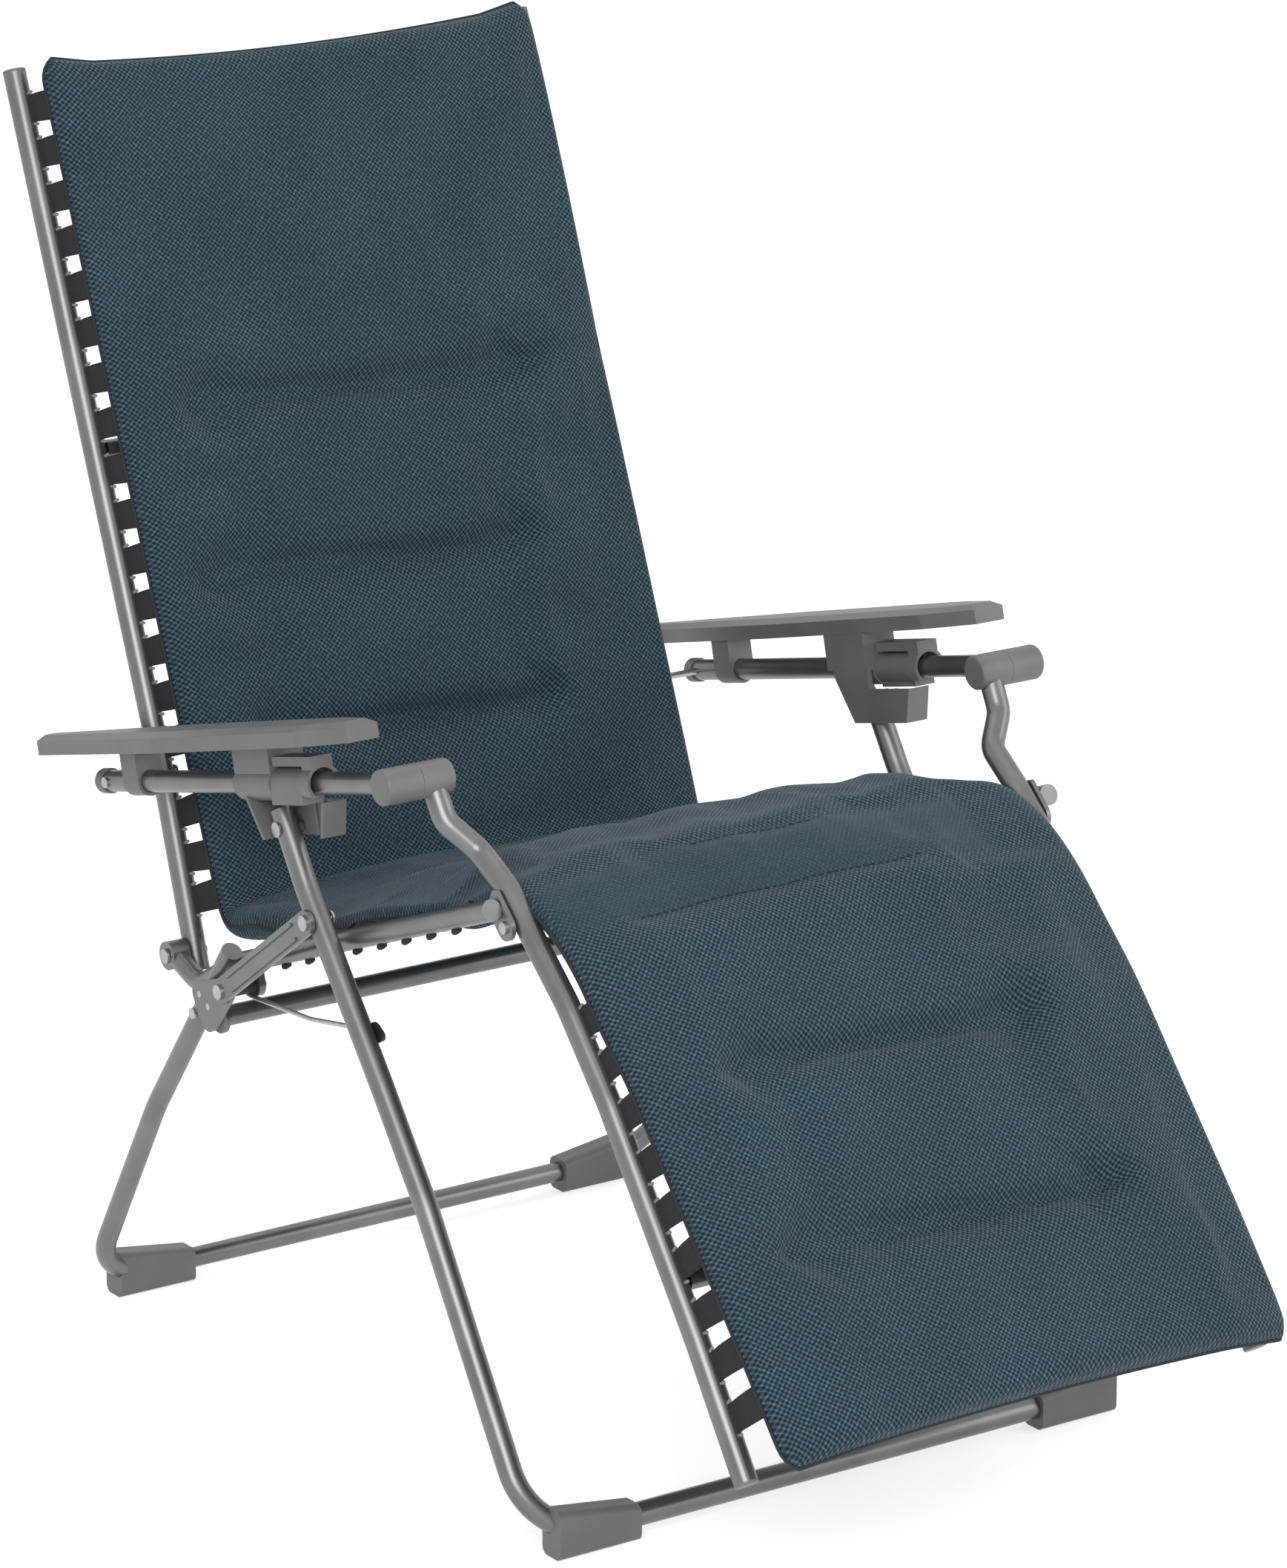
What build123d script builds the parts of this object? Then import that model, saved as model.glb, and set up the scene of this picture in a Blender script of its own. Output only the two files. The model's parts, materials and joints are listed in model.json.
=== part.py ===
from build123d import *
import math
import os

# Reclining garden armchair, in millimetres.
# +Z is up, the sitter faces -Y, X is lateral and the sitter's left is +X.
# The origin is on the floor, under the middle of the chair's overall length.
# The chair stands part reclined, with its leg rest part lowered.

# Tubes
tube_wall = 1.5
front_leg_radius = 10.0
rear_leg_radius = 9.0
seat_tube_radius = 9.0
back_tube_radius = 10.0
rail_radius = 9.5
legrest_tube_radius = 10.0
brace_radius = 8.0
weld_gap = 0.1
running_clearance = 0.05
body_clearance = 0.3
overrun = 5.0

# Lateral planes of the tubes, each at its distance outside the mat
mat_half_width = 245.0
front_leg_reach = 58.0
rear_leg_reach = 54.0
seat_tube_reach = 35.0
back_tube_reach = 15.0
rail_reach = 63.0
legrest_tube_reach = 10.0
front_leg_x = mat_half_width + front_leg_reach
rear_leg_x = mat_half_width + rear_leg_reach
seat_tube_x = mat_half_width + seat_tube_reach
back_tube_x = mat_half_width + back_tube_reach
rail_x = mat_half_width + rail_reach
legrest_tube_x = mat_half_width + legrest_tube_reach

# Pivots in the side view, y then z
hip_y = 155.0
hip_z = 363.0
back_pivot_y = 289.6
back_pivot_z = 353.1
rail_pivot_y = 336.4
rail_pivot_z = 502.1
barrel_y = -120.1
barrel_z = 611.9
knee_y = -210.9
knee_z = 508.5
arm_pivot_y = 64.1
arm_pivot_z = 528.0
pivot_pin_radius = 4.0
pin_head_radius = 6.5
pin_head_height = 2.2

# Front frame: two legs that bend into one floor bar
front_bar_y = -295.0
front_bar_z = 18.0
front_corner_radius = 60.0
leg_upper_y = 34.5
leg_upper_z = 482.3
leg_middle_y = -78.4
leg_middle_z = 341.2
leg_lower_y = -141.2
leg_lower_z = 259.2
leg_bend_radius = 160.0
leg_top_reach = 16.0
leg_top_bend_radius = 120.0

# Rear frame: two legs that bend into one floor bar
rear_bar_y = 415.0
rear_bar_z = 18.0
rear_corner_radius = 60.0
rear_middle_y = 294.6
rear_middle_z = 217.6
rear_top_y = 163.4
rear_top_z = 393.5
rear_bend_radius = 200.0

# Shoes, moulded sleeves over the corners of both floor bars
shoe_width = 27.0
front_shoe_setback = 18.5
front_shoe_length = 79.0
rear_shoe_setback = 23.0
rear_shoe_length = 76.5
shoe_outer_height = 42.0
shoe_inner_height = 31.0
shoe_corner_radius = 7.0
shoe_fit = 0.15

# Hip: link bars, lugs, plates and the cross tube between the rear legs
link_top_y = 17.0
link_top_z = 460.5
link_width = 21.0
link_thickness = 4.0
link_rib_height = 1.6
link_rib_width = 3.0
link_rib_offset = 6.4
link_standoff = 0.4
hip_plate_thickness = 4.0
hip_plate_edge = 11.0
cross_tube_y = 202.8
cross_tube_z = 322.0
cross_tube_radius = 9.0
cross_flange_radius = 14.0
cross_flange_thickness = 3.8
rivet_radius = 3.0
rivet_head_radius = 4.8
rivet_head_height = 1.8
flange_rivet_distance = 84.0
plate_rivet_y = 183.0
plate_rivet_z = 341.0
hip_lug_thickness = 6.0
hip_lug_radius = 10.0
link_rivet_radius = 3.5

# Catch wire that keeps the rear frame spread
wire_radius = 2.0
wire_standoff = 6.8
wire_bend = 7.0
wire_turn = 3.0
wire_middle_bend = 60.0
catch_y = -48.0
catch_z = 378.6
catch_radius = 9.0
catch_length = 3.6
wire_middle_y = 60.0
wire_middle_z = 359.5

# Seat tubes
seat_front_y = -206.5
seat_front_z = 523.7
seat_rear_y = 189.0
seat_rear_z = 372.2
seat_low_y = 247.0
seat_low_z = 337.0
seat_bend_radius = 70.0
seat_heel_radius = 30.0
seat_boss_radius = 12.5
seat_boss_inset = 0.6
knee_plate_thickness = 4.0
knee_plate_radius = 11.0
knee_plate_peak_y = -196.0
knee_plate_peak_z = 532.0
knee_plate_peak_radius = 4.0
knee_spacer_radius = 8.5
knee_head_radius = 5.0

# Back tubes
back_length = 635.14
back_lean = 21.56
back_bend_y = 331.6
back_bend_z = 484.3
back_bend_radius = 500.0
back_tail = 15.0
back_brace_distance = 334.0
plug_depth = 12.0
foot_plug_depth = 8.0
plug_cap = 2.5
rail_pin_radius = 3.0

# Rails and their barrel hinges
rail_tail = 14.0
rail_cap_radius = 11.0
rail_cap_length = 8.0
barrel_radius = 15.0
barrel_edge = 3.0
barrel_seam_offset = 12.0
barrel_outer_length = 34.0
barrel_inner_length = 31.0
barrel_pin_radius = 3.0
barrel_pocket_radius = 9.5
barrel_pocket_depth = 14.0
barrel_pin_reach = 11.0
barrel_lip = 2.2

# Leg rest tubes
legrest_neck_y = -138.0
legrest_neck_z = 580.0
legrest_neck_offset = 24.0
legrest_shoulder_y = -156.0
legrest_shoulder_z = 556.0
legrest_shoulder_offset = 3.0
legrest_bend_y = -193.0
legrest_bend_z = 533.0
legrest_knee_y = -277.3
legrest_knee_z = 458.8
legrest_shin_y = -335.8
legrest_shin_z = 392.6
legrest_calf_y = -455.7
legrest_calf_z = 233.4
legrest_end_y = -522.3
legrest_end_z = 136.2
legrest_bend_radius = 70.0
legrest_shoulder_radius = 22.0
legrest_brace_share = 0.76

# Armrests, measured along the rail from its pivot and square to it
arm_rear = -101.0
arm_front = 433.0
arm_width = 60.0
arm_level = 160.0
arm_lift = 30.5
arm_pitch = 1.3
arm_thickness = 12.5
arm_crown = 4.5
arm_crown_share = 2.2
arm_front_taper = 60.0
arm_front_width = 30.0
arm_rear_taper = 240.0
arm_rear_width = 22.0
arm_offset = 8.0
guide_rear = 36.0
guide_front = 62.0
guide_radius = 12.5
bracket_rear = 226.0
bracket_sleeve_front = 284.0
bracket_front = 343.0
bracket_sleeve_radius = 15.0
bracket_waist_rear = 236.0
bracket_waist_drop = 8.0
bracket_foot_rear = 257.0
bracket_foot_front = 334.0
bracket_foot_drop = 46.0
bracket_plate_gap = 1.6
bracket_plate_thickness = 5.4
bracket_outer_reach = 12.0
bracket_pocket_radius = 9.2
bracket_pocket_depth = 4.0
bracket_rib_height = 1.6
bracket_rib_width = 4.0
bracket_rib_gap = 14.0
bracket_rib_setback = 34.0
bracket_wall = 4.0
clamp_front = 333.0
clamp_radius = 13.8
clamp_drop = 16.5
ring_front = 348.0
ring_radius = 16.0
ring_wall = 3.0
ring_opening = 100.0
lever_rear = 287.0
lever_bottom = 15.2
lever_height = 8.0
lever_width = 21.0

# Padded mat, one long cushion in five lengths
mat_half_thickness = 17.0
mat_side_bulge = 12.0
mat_crown = 9.0
mat_channel_reach = 150.0
mat_channel_depth = 9.0
mat_channel_half = 11.0
mat_seat_depth = 30.0
mat_hem_half_thickness = 7.0
mat_hem_length = 16.0
mat_lift_back = 30.0
mat_gap = 0.3
mat_back_extension = 62.86
mat_back_channel_shares = (0.451, 0.670, 0.877)
mat_leg_channel_share = 0.77
mat_crease_y = 254.5
mat_crease_z = 376.0
mat_seat_rear_y = 218.0
mat_seat_rear_z = 388.5
mat_seat_middle_y = 40.6
mat_seat_middle_z = 473.0
mat_seat_front_y = -73.0
mat_seat_front_z = 509.0
mat_seat_end_y = -172.0
mat_seat_end_z = 524.5
mat_knee_y = -212.0
mat_knee_z = 524.0
mat_leg_start_y = -252.0
mat_leg_start_z = 508.5
mat_leg_one_y = -290.0
mat_leg_one_z = 484.0
mat_leg_two_y = -361.0
mat_leg_two_z = 419.0
mat_leg_three_y = -503.0
mat_leg_three_z = 255.0
mat_leg_end_y = -565.0
mat_leg_end_z = 180.0

# Elastic clips that hang the mat in the frame
clip_thickness = 3.0
clip_tube_width = 20.0
clip_mat_width = 27.0
clip_pitch_back = 40.0
clip_pitch_leg = 42.0
clip_pitch_seat = 40.0
clip_start_back = 34.0
clip_clear = 0.5
clip_tail_width = 9.0
clip_tail_thickness = 3.0
clip_tail_reach = 8.0

hands = {-1: "right", 1: "left"}
os.makedirs("parts", exist_ok=True)


def save(part, name):
    """Label one sub-part and write it."""
    part.label = name
    export_step(part, f"parts/{name}.step")


def unit(start, end):
    """Direction and length from one side-view point to another."""
    length = math.dist(start, end)
    return ((end[0] - start[0]) / length, (end[1] - start[1]) / length), length


def along(start, end, distance):
    """Side-view point at a distance from the start, towards the end."""
    direction, _ = unit(start, end)
    return (start[0] + direction[0] * distance, start[1] + direction[1] * distance)


def bent_tube(points, radii, outer_radius, solid=False):
    """Round tube along straight runs joined by tangent arcs."""
    with BuildPart() as tube:
        with BuildLine() as route:
            if len(points) > 2:
                FilletPolyline(*points, radius=radii)
            else:
                Line(*points)
        start = route.line
        with BuildSketch(Plane(origin=start @ 0, z_dir=start % 0)):
            Circle(outer_radius)
            if not solid:
                Circle(outer_radius - tube_wall, mode=Mode.SUBTRACT)
        sweep(path=route.line)
    return tube.part


def end_disc(end, inward, outer_radius):
    """Welded disc that closes the open end of a tube."""
    direction = (Vector(*inward) - Vector(*end)).normalized()
    with BuildPart() as disc:
        with BuildSketch(Plane(origin=end, z_dir=direction)):
            Circle(outer_radius - tube_wall / 2)
        extrude(amount=tube_wall)
    return disc.part


def cross_rod(x_one, x_two, y, z, radius):
    """Round bar along X between two lateral planes."""
    low = min(x_one, x_two)
    with BuildPart() as rod:
        with BuildSketch(Plane(origin=(low, y, z), x_dir=(0, 1, 0), z_dir=(1, 0, 0))):
            Circle(radius)
        extrude(amount=abs(x_two - x_one))
    return rod.part


def side_plate(x_one, x_two, discs):
    """Flat plate in the side view, the hull of some discs (y, z, radius)."""
    low = min(x_one, x_two)
    with BuildPart() as plate:
        with BuildSketch(Plane(origin=(low, 0, 0), x_dir=(0, 1, 0), z_dir=(1, 0, 0))):
            for y, z, radius in discs:
                with Locations((y, z)):
                    Circle(radius)
            make_hull()
        extrude(amount=abs(x_two - x_one))
    return plate.part


# Lateral places that follow the tubes
front_shoe_outer_x = front_leg_x - front_shoe_setback
front_shoe_inner_x = front_shoe_outer_x - front_shoe_length
rear_shoe_outer_x = rear_leg_x - rear_shoe_setback
rear_shoe_inner_x = rear_shoe_outer_x - rear_shoe_length
link_x = front_leg_x + front_leg_radius + link_standoff
wire_x = front_leg_x - front_leg_radius - wire_standoff
barrel_seam_x = rail_x - barrel_seam_offset
barrel_outer_x = barrel_seam_x + barrel_outer_length
barrel_inner_x = barrel_seam_x - barrel_inner_length
legrest_neck_x = legrest_tube_x + legrest_neck_offset
legrest_shoulder_x = legrest_tube_x + legrest_shoulder_offset
arm_x = rail_x + arm_offset
bracket_plate_outer_x = front_leg_x - front_leg_radius - bracket_plate_gap
bracket_plate_inner_x = bracket_plate_outer_x - bracket_plate_thickness
bracket_side_x = rail_x + bracket_outer_reach

# Side-view points, y then z
hip = (hip_y, hip_z)
back_pivot = (back_pivot_y, back_pivot_z)
rail_pivot = (rail_pivot_y, rail_pivot_z)
barrel = (barrel_y, barrel_z)
knee = (knee_y, knee_z)
arm_pivot = (arm_pivot_y, arm_pivot_z)
leg_upper = (leg_upper_y, leg_upper_z)
leg_middle = (leg_middle_y, leg_middle_z)
leg_lower = (leg_lower_y, leg_lower_z)
front_corner = (front_bar_y, front_bar_z)
rear_top = (rear_top_y, rear_top_z)
rear_middle = (rear_middle_y, rear_middle_z)
rear_corner = (rear_bar_y, rear_bar_z)
back_bend = (back_bend_y, back_bend_z)
back_rise = math.radians(back_lean)
back_top = (back_bend_y + back_length * math.sin(back_rise), back_bend_z + back_length * math.cos(back_rise))
seat_front = (seat_front_y, seat_front_z)
seat_rear = (seat_rear_y, seat_rear_z)
seat_low = (seat_low_y, seat_low_z)
leg_head = along(arm_pivot, leg_upper, -leg_top_reach)
back_foot = along(back_pivot, back_bend, -back_tail)


# Front frame
def front_leg_route(side):
    x = side * front_leg_x
    route = [leg_head, leg_upper, leg_middle, leg_lower, front_corner]
    return [(x, y, z) for y, z in route] + [(side * (front_leg_x - front_corner_radius), *front_corner)]


def front_leg(side):
    radii = [leg_top_bend_radius, leg_bend_radius, leg_bend_radius, front_corner_radius - weld_gap]
    with BuildPart() as leg:
        route = front_leg_route(side)
        add(bent_tube(route, radii, front_leg_radius))
        add(end_disc(route[0], route[1], front_leg_radius))
        bore = pivot_pin_radius + running_clearance
        for y, z, radius in (
            (arm_pivot_y, arm_pivot_z, bore),
            (link_top_y, link_top_z, link_rivet_radius + running_clearance),
        ):
            inner = side * (front_leg_x - front_leg_radius - overrun)
            outer = side * (front_leg_x + front_leg_radius + overrun)
            add(cross_rod(inner, outer, y, z, radius), mode=Mode.SUBTRACT)
    save(leg.part, f"front_leg_{hands[side]}")


def floor_bar(name, y, z, half_length, radius):
    with BuildPart() as bar:
        add(bent_tube([(-half_length, y, z), (half_length, y, z)], [], radius))
    save(bar.part, name)


def shoe(name, side, corner, outer_x, inner_x, tube_route, radii, tube_radius):
    """Sleeve over the corner of a floor bar, taller at its outer end."""
    with BuildPart() as sleeve:
        for x, height in ((outer_x, shoe_outer_height), (inner_x, shoe_inner_height)):
            face = Plane(origin=(side * x, corner[0], height / 2), x_dir=(0, 1, 0), z_dir=(1, 0, 0))
            with BuildSketch(face):
                RectangleRounded(shoe_width, height, shoe_corner_radius)
        loft()
        inside = bent_tube(tube_route, radii, tube_radius + shoe_fit, solid=True)
        add(inside, mode=Mode.SUBTRACT)
    save(sleeve.part, name)


def front_shoe(side):
    route = [(side * front_leg_x, *leg_lower), (side * front_leg_x, *front_corner), (0, *front_corner)]
    name = f"front_shoe_{hands[side]}"
    radii = [front_corner_radius - weld_gap]
    shoe(name, side, front_corner, front_shoe_outer_x, front_shoe_inner_x, route, radii, front_leg_radius)


def rear_leg_route(side):
    x = side * rear_leg_x
    route = [rear_top, rear_middle, rear_corner]
    return [(x, y, z) for y, z in route] + [(side * (rear_leg_x - rear_corner_radius), *rear_corner)]


def rear_leg(side):
    radii = [rear_bend_radius, rear_corner_radius - weld_gap]
    route = rear_leg_route(side)
    with BuildPart() as leg:
        add(bent_tube(route, radii, rear_leg_radius))
        add(end_disc(route[0], route[1], rear_leg_radius))
        inner = side * (rear_leg_x - rear_leg_radius - overrun)
        outer = side * (rear_leg_x + rear_leg_radius + overrun)
        radius = rivet_radius + running_clearance
        for place in (leg_rivet, flange_rivet):
            add(cross_rod(inner, outer, *place, radius), mode=Mode.SUBTRACT)
    save(leg.part, f"rear_leg_{hands[side]}")


def rear_shoe(side):
    route = [(side * rear_leg_x, *rear_middle), (side * rear_leg_x, *rear_corner), (0, *rear_corner)]
    name = f"rear_shoe_{hands[side]}"
    radii = [rear_corner_radius - weld_gap]
    shoe(name, side, rear_corner, rear_shoe_outer_x, rear_shoe_inner_x, route, radii, rear_leg_radius)


leg_rivet = along(rear_top, rear_middle, math.dist(rear_top, (plate_rivet_y, plate_rivet_z)))
flange_rivet = along(rear_top, rear_middle, flange_rivet_distance)


# Hip: plates of the rear frame, links and pins of the front frame
def hip_plate(side):
    """Outer plate on the top of the rear leg that carries the hip pivot."""
    outer_face = rear_leg_x + rear_leg_radius + weld_gap
    outer_end = outer_face + hip_plate_thickness
    spot = (plate_rivet_y, plate_rivet_z)
    with BuildPart() as plate:
        discs = [
            (*hip, hip_plate_edge),
            (*leg_rivet, hip_plate_edge),
            (plate_rivet_y, plate_rivet_z - hip_plate_edge, hip_plate_edge),
        ]
        add(side_plate(side * outer_face, side * outer_end, discs))
        start = side * (outer_face - overrun)
        end = side * (outer_end + overrun)
        add(cross_rod(start, end, *hip, pivot_pin_radius + running_clearance), mode=Mode.SUBTRACT)
        for place in (leg_rivet, spot):
            add(cross_rod(start, end, *place, rivet_radius + running_clearance), mode=Mode.SUBTRACT)
    save(plate.part, f"hip_plate_{hands[side]}")


def cross_flanges():
    """Flanges at both ends of the hip cross tube, riveted to the rear legs."""
    start = rear_leg_x - rear_leg_radius - weld_gap
    end = start - cross_flange_thickness
    cross = (cross_tube_y, cross_tube_z, cross_flange_radius)
    bore = rivet_radius + running_clearance
    with BuildPart() as flanges:
        for side in hands:
            discs = [cross, (*flange_rivet, rivet_head_radius + rivet_radius)]
            add(side_plate(side * start, side * end, discs))
            far = side * (end - overrun)
            add(cross_rod(side * (start + overrun), far, *flange_rivet, bore), mode=Mode.SUBTRACT)
    save(flanges.part, "cross_flanges")


def hip_rivets():
    """Rivets of the plate and of the flange on each rear leg."""
    plate_end = rear_leg_x + rear_leg_radius + weld_gap + hip_plate_thickness
    flange_end = rear_leg_x - rear_leg_radius - weld_gap - cross_flange_thickness
    plate_start = plate_end - hip_plate_thickness
    leg_inner = rear_leg_x - rear_leg_radius
    leg_outer = rear_leg_x + rear_leg_radius
    with BuildPart() as rivets:
        for side in hands:
            add(cross_rod(side * plate_end, side * leg_inner, *leg_rivet, rivet_radius))
            add(cross_rod(side * leg_outer, side * flange_end, *flange_rivet, rivet_radius))
            head = side * (leg_outer + rivet_head_height)
            add(cross_rod(side * leg_outer, head, *flange_rivet, rivet_head_radius))
            spot = (plate_rivet_y, plate_rivet_z)
            add(cross_rod(side * plate_end, side * plate_start, *spot, rivet_radius))
            head = side * (plate_start - rivet_head_height)
            add(cross_rod(side * plate_start, head, *spot, rivet_head_radius))
    save(rivets.part, "hip_rivets")


def hip_cross_tube():
    half = rear_leg_x - rear_leg_radius - weld_gap - cross_flange_thickness - weld_gap
    ends = [(-half, cross_tube_y, cross_tube_z), (half, cross_tube_y, cross_tube_z)]
    with BuildPart() as cross:
        add(bent_tube(ends, [], cross_tube_radius))
    save(cross.part, "hip_cross_tube")


def link(side):
    """Flat bar from the front leg to the hip, with two pressed ribs."""
    start = link_x
    end = link_x + link_thickness
    (dy, dz), length = unit(hip, (link_top_y, link_top_z))
    with BuildPart() as bar:
        ends = [(*hip, link_width / 2), (link_top_y, link_top_z, link_width / 2)]
        add(side_plate(side * start, side * end, ends))
        for offset in (-link_rib_offset, link_rib_offset):
            rib = []
            for reach in (link_width, length - link_width):
                centre = (hip_y + dy * reach - dz * offset, hip_z + dz * reach + dy * offset)
                rib.append((*centre, link_rib_width / 2))
            add(side_plate(side * end, side * (end + link_rib_height), rib))
        for spot, radius in ((hip, pivot_pin_radius), ((link_top_y, link_top_z), link_rivet_radius)):
            inner = side * (start - overrun)
            outer = side * (end + overrun)
            add(cross_rod(inner, outer, *spot, radius + running_clearance), mode=Mode.SUBTRACT)
    save(bar.part, f"link_{hands[side]}")


def front_frame_pins():
    """Hip pins, link rivets and arm pivot stubs, all fixed to the front frame."""
    link_end = link_x + link_thickness
    lug_inner = seat_tube_x - hip_lug_thickness / 2
    with BuildPart() as pins:
        for side in hands:
            inner = lug_inner - body_clearance
            add(cross_rod(side * inner, side * link_end, *hip, pivot_pin_radius))
            add(cross_rod(side * inner, side * (inner - pin_head_height), *hip, pin_head_radius))
            head = side * (link_end + pin_head_height)
            add(cross_rod(side * link_end, head, *hip, pin_head_radius))
            leg_inner = front_leg_x - front_leg_radius
            spot = (link_top_y, link_top_z)
            add(cross_rod(side * leg_inner, side * link_end, *spot, link_rivet_radius))
            add(cross_rod(side * link_end, head, *spot, pin_head_radius))
            head = side * (leg_inner - rivet_head_height)
            add(cross_rod(side * leg_inner, head, *spot, pin_head_radius))
            leg_outer = front_leg_x + front_leg_radius
            tip = bracket_plate_outer_x - bracket_pocket_depth + running_clearance + body_clearance
            add(cross_rod(side * leg_outer, side * tip, *arm_pivot, pivot_pin_radius))
            head = side * (leg_outer + rivet_head_height)
            add(cross_rod(side * leg_outer, head, *arm_pivot, pin_head_radius))
    save(pins.part, "front_frame_pins")


def link_spacers():
    """Plastic collars on the hip pin and the link rivet."""
    bore = pivot_pin_radius + running_clearance
    lug_outer = seat_tube_x + hip_lug_thickness / 2 + body_clearance
    plate_inner = rear_leg_x + rear_leg_radius + weld_gap - body_clearance
    plate_outer = plate_inner + hip_plate_thickness + 2 * body_clearance
    with BuildPart() as collars:
        for side in hands:
            for start, end in ((lug_outer, plate_inner), (plate_outer, link_x)):
                add(cross_rod(side * start, side * end, *hip, pin_head_radius))
                far = side * (end + overrun)
                near = side * (start - overrun)
                add(cross_rod(near, far, *hip, bore), mode=Mode.SUBTRACT)
            spot = (link_top_y, link_top_z)
            start = front_leg_x + front_leg_radius + weld_gap
            add(cross_rod(side * start, side * link_x, *spot, pin_head_radius))
            far = side * (link_x + overrun)
            near = side * (start - overrun)
            add(cross_rod(near, far, *spot, link_rivet_radius + running_clearance), mode=Mode.SUBTRACT)
    save(collars.part, "link_spacers")


def catch_knobs():
    """Black knob on the inner side of each front leg that carries the wire."""
    start = front_leg_x - front_leg_radius - weld_gap
    end = start - catch_length
    with BuildPart() as knobs:
        for side in hands:
            discs = [(catch_y, catch_z, catch_radius), (catch_y - catch_radius, catch_z, catch_radius / 2)]
            add(side_plate(side * start, side * end, discs))
            deep = side * (end - overrun)
            bore = wire_radius + running_clearance
            add(cross_rod(side * (start + overrun), deep, catch_y, catch_z, bore), mode=Mode.SUBTRACT)
    save(knobs.part, "catch_knobs")


def catch_wire(side):
    """Bent wire from the knob that passes under the hip collar and hooks up behind it."""
    offset = pin_head_radius + wire_radius + body_clearance
    below = hip_z - offset
    behind = hip_y + offset
    x = side * wire_x
    points = [
        (side * (front_leg_x - front_leg_radius - wire_radius), catch_y, catch_z),
        (x, catch_y, catch_z),
        (x, wire_middle_y, wire_middle_z),
        (x, hip_y - offset, below),
        (x, behind, below),
        (x, behind, hip_z),
    ]
    with BuildPart() as wire:
        add(bent_tube(points, [wire_turn, wire_middle_bend, wire_bend, wire_bend], wire_radius, solid=True))
    save(wire.part, f"catch_wire_{hands[side]}")


# Seat frame
def seat_tube(side):
    x = side * seat_tube_x
    route = [(x, y, z) for y, z in (seat_front, seat_rear, seat_low, back_pivot)]
    boss_inner = side * (seat_tube_x - seat_tube_radius + seat_boss_inset)
    boss_outer = side * (seat_tube_x + seat_tube_radius - seat_boss_inset)
    lug_inner = side * (seat_tube_x - hip_lug_thickness / 2)
    lug_outer = side * (seat_tube_x + hip_lug_thickness / 2)
    (dy, dz), _ = unit(seat_front, seat_rear)
    with BuildPart() as tube:
        add(bent_tube(route, [seat_bend_radius, seat_heel_radius], seat_tube_radius))
        add(end_disc(route[0], route[1], seat_tube_radius))
        add(cross_rod(boss_inner, boss_outer, *back_pivot, seat_boss_radius))
        foot = (hip_y - seat_front_y) * dy + (hip_z - seat_front_z) * dz
        on_axis = along(seat_front, seat_rear, foot)
        over_hip = along(on_axis, hip, seat_tube_radius - tube_wall / 2)
        discs = [(*hip, hip_lug_radius)]
        for reach in (-hip_lug_radius, hip_lug_radius):
            discs.append((over_hip[0] + dy * reach, over_hip[1] + dz * reach, tube_wall))
        add(side_plate(lug_inner, lug_outer, discs))
        bore = pivot_pin_radius + running_clearance
        start = side * (seat_tube_x - seat_tube_radius - overrun)
        end = side * (seat_tube_x + seat_tube_radius + overrun)
        add(cross_rod(start, end, *hip, bore), mode=Mode.SUBTRACT)
        add(cross_rod(start, end, *back_pivot, bore), mode=Mode.SUBTRACT)
    save(tube.part, f"seat_tube_{hands[side]}")


def knee_plates():
    """Upright plates on the front ends of the seat tubes that carry the knee pins."""
    start = seat_tube_x - seat_tube_radius - weld_gap
    end = start - knee_plate_thickness
    discs = [
        (*knee, knee_plate_radius),
        (*along(seat_front, seat_rear, seat_tube_radius), knee_plate_radius),
        (knee_plate_peak_y, knee_plate_peak_z, knee_plate_peak_radius),
    ]
    bore = pivot_pin_radius + running_clearance
    with BuildPart() as plates:
        for side in hands:
            add(side_plate(side * start, side * end, discs))
            inner = side * (end - overrun)
            add(cross_rod(side * (start + overrun), inner, *knee, bore), mode=Mode.SUBTRACT)
    save(plates.part, "knee_plates")


def seat_frame_pins():
    """Knee pins and back pivot pins, fixed to the seat frame."""
    plate_outer = seat_tube_x - seat_tube_radius - weld_gap
    with BuildPart() as pins:
        for side in hands:
            inner = legrest_tube_x - legrest_tube_radius
            add(cross_rod(side * plate_outer, side * inner, *knee, pivot_pin_radius))
            far = side * (plate_outer + pin_head_height)
            add(cross_rod(side * plate_outer, far, *knee, knee_head_radius))
            inner = back_tube_x - back_tube_radius
            outer = seat_tube_x + seat_tube_radius
            add(cross_rod(side * outer, side * inner, *back_pivot, pivot_pin_radius))
            far = side * (outer + pin_head_height)
            add(cross_rod(side * outer, far, *back_pivot, pin_head_radius))
    save(pins.part, "seat_frame_pins")


def knee_spacers():
    """Black washers between the knee plates and the leg rest tubes."""
    start = seat_tube_x - seat_tube_radius - weld_gap - knee_plate_thickness
    end = legrest_tube_x + legrest_tube_radius + body_clearance
    bore = pivot_pin_radius + running_clearance
    with BuildPart() as washers:
        for side in hands:
            add(cross_rod(side * start, side * end, *knee, knee_spacer_radius))
            far = side * (start + overrun)
            add(cross_rod(far, side * (end - overrun), *knee, bore), mode=Mode.SUBTRACT)
    save(washers.part, "knee_spacers")


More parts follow.
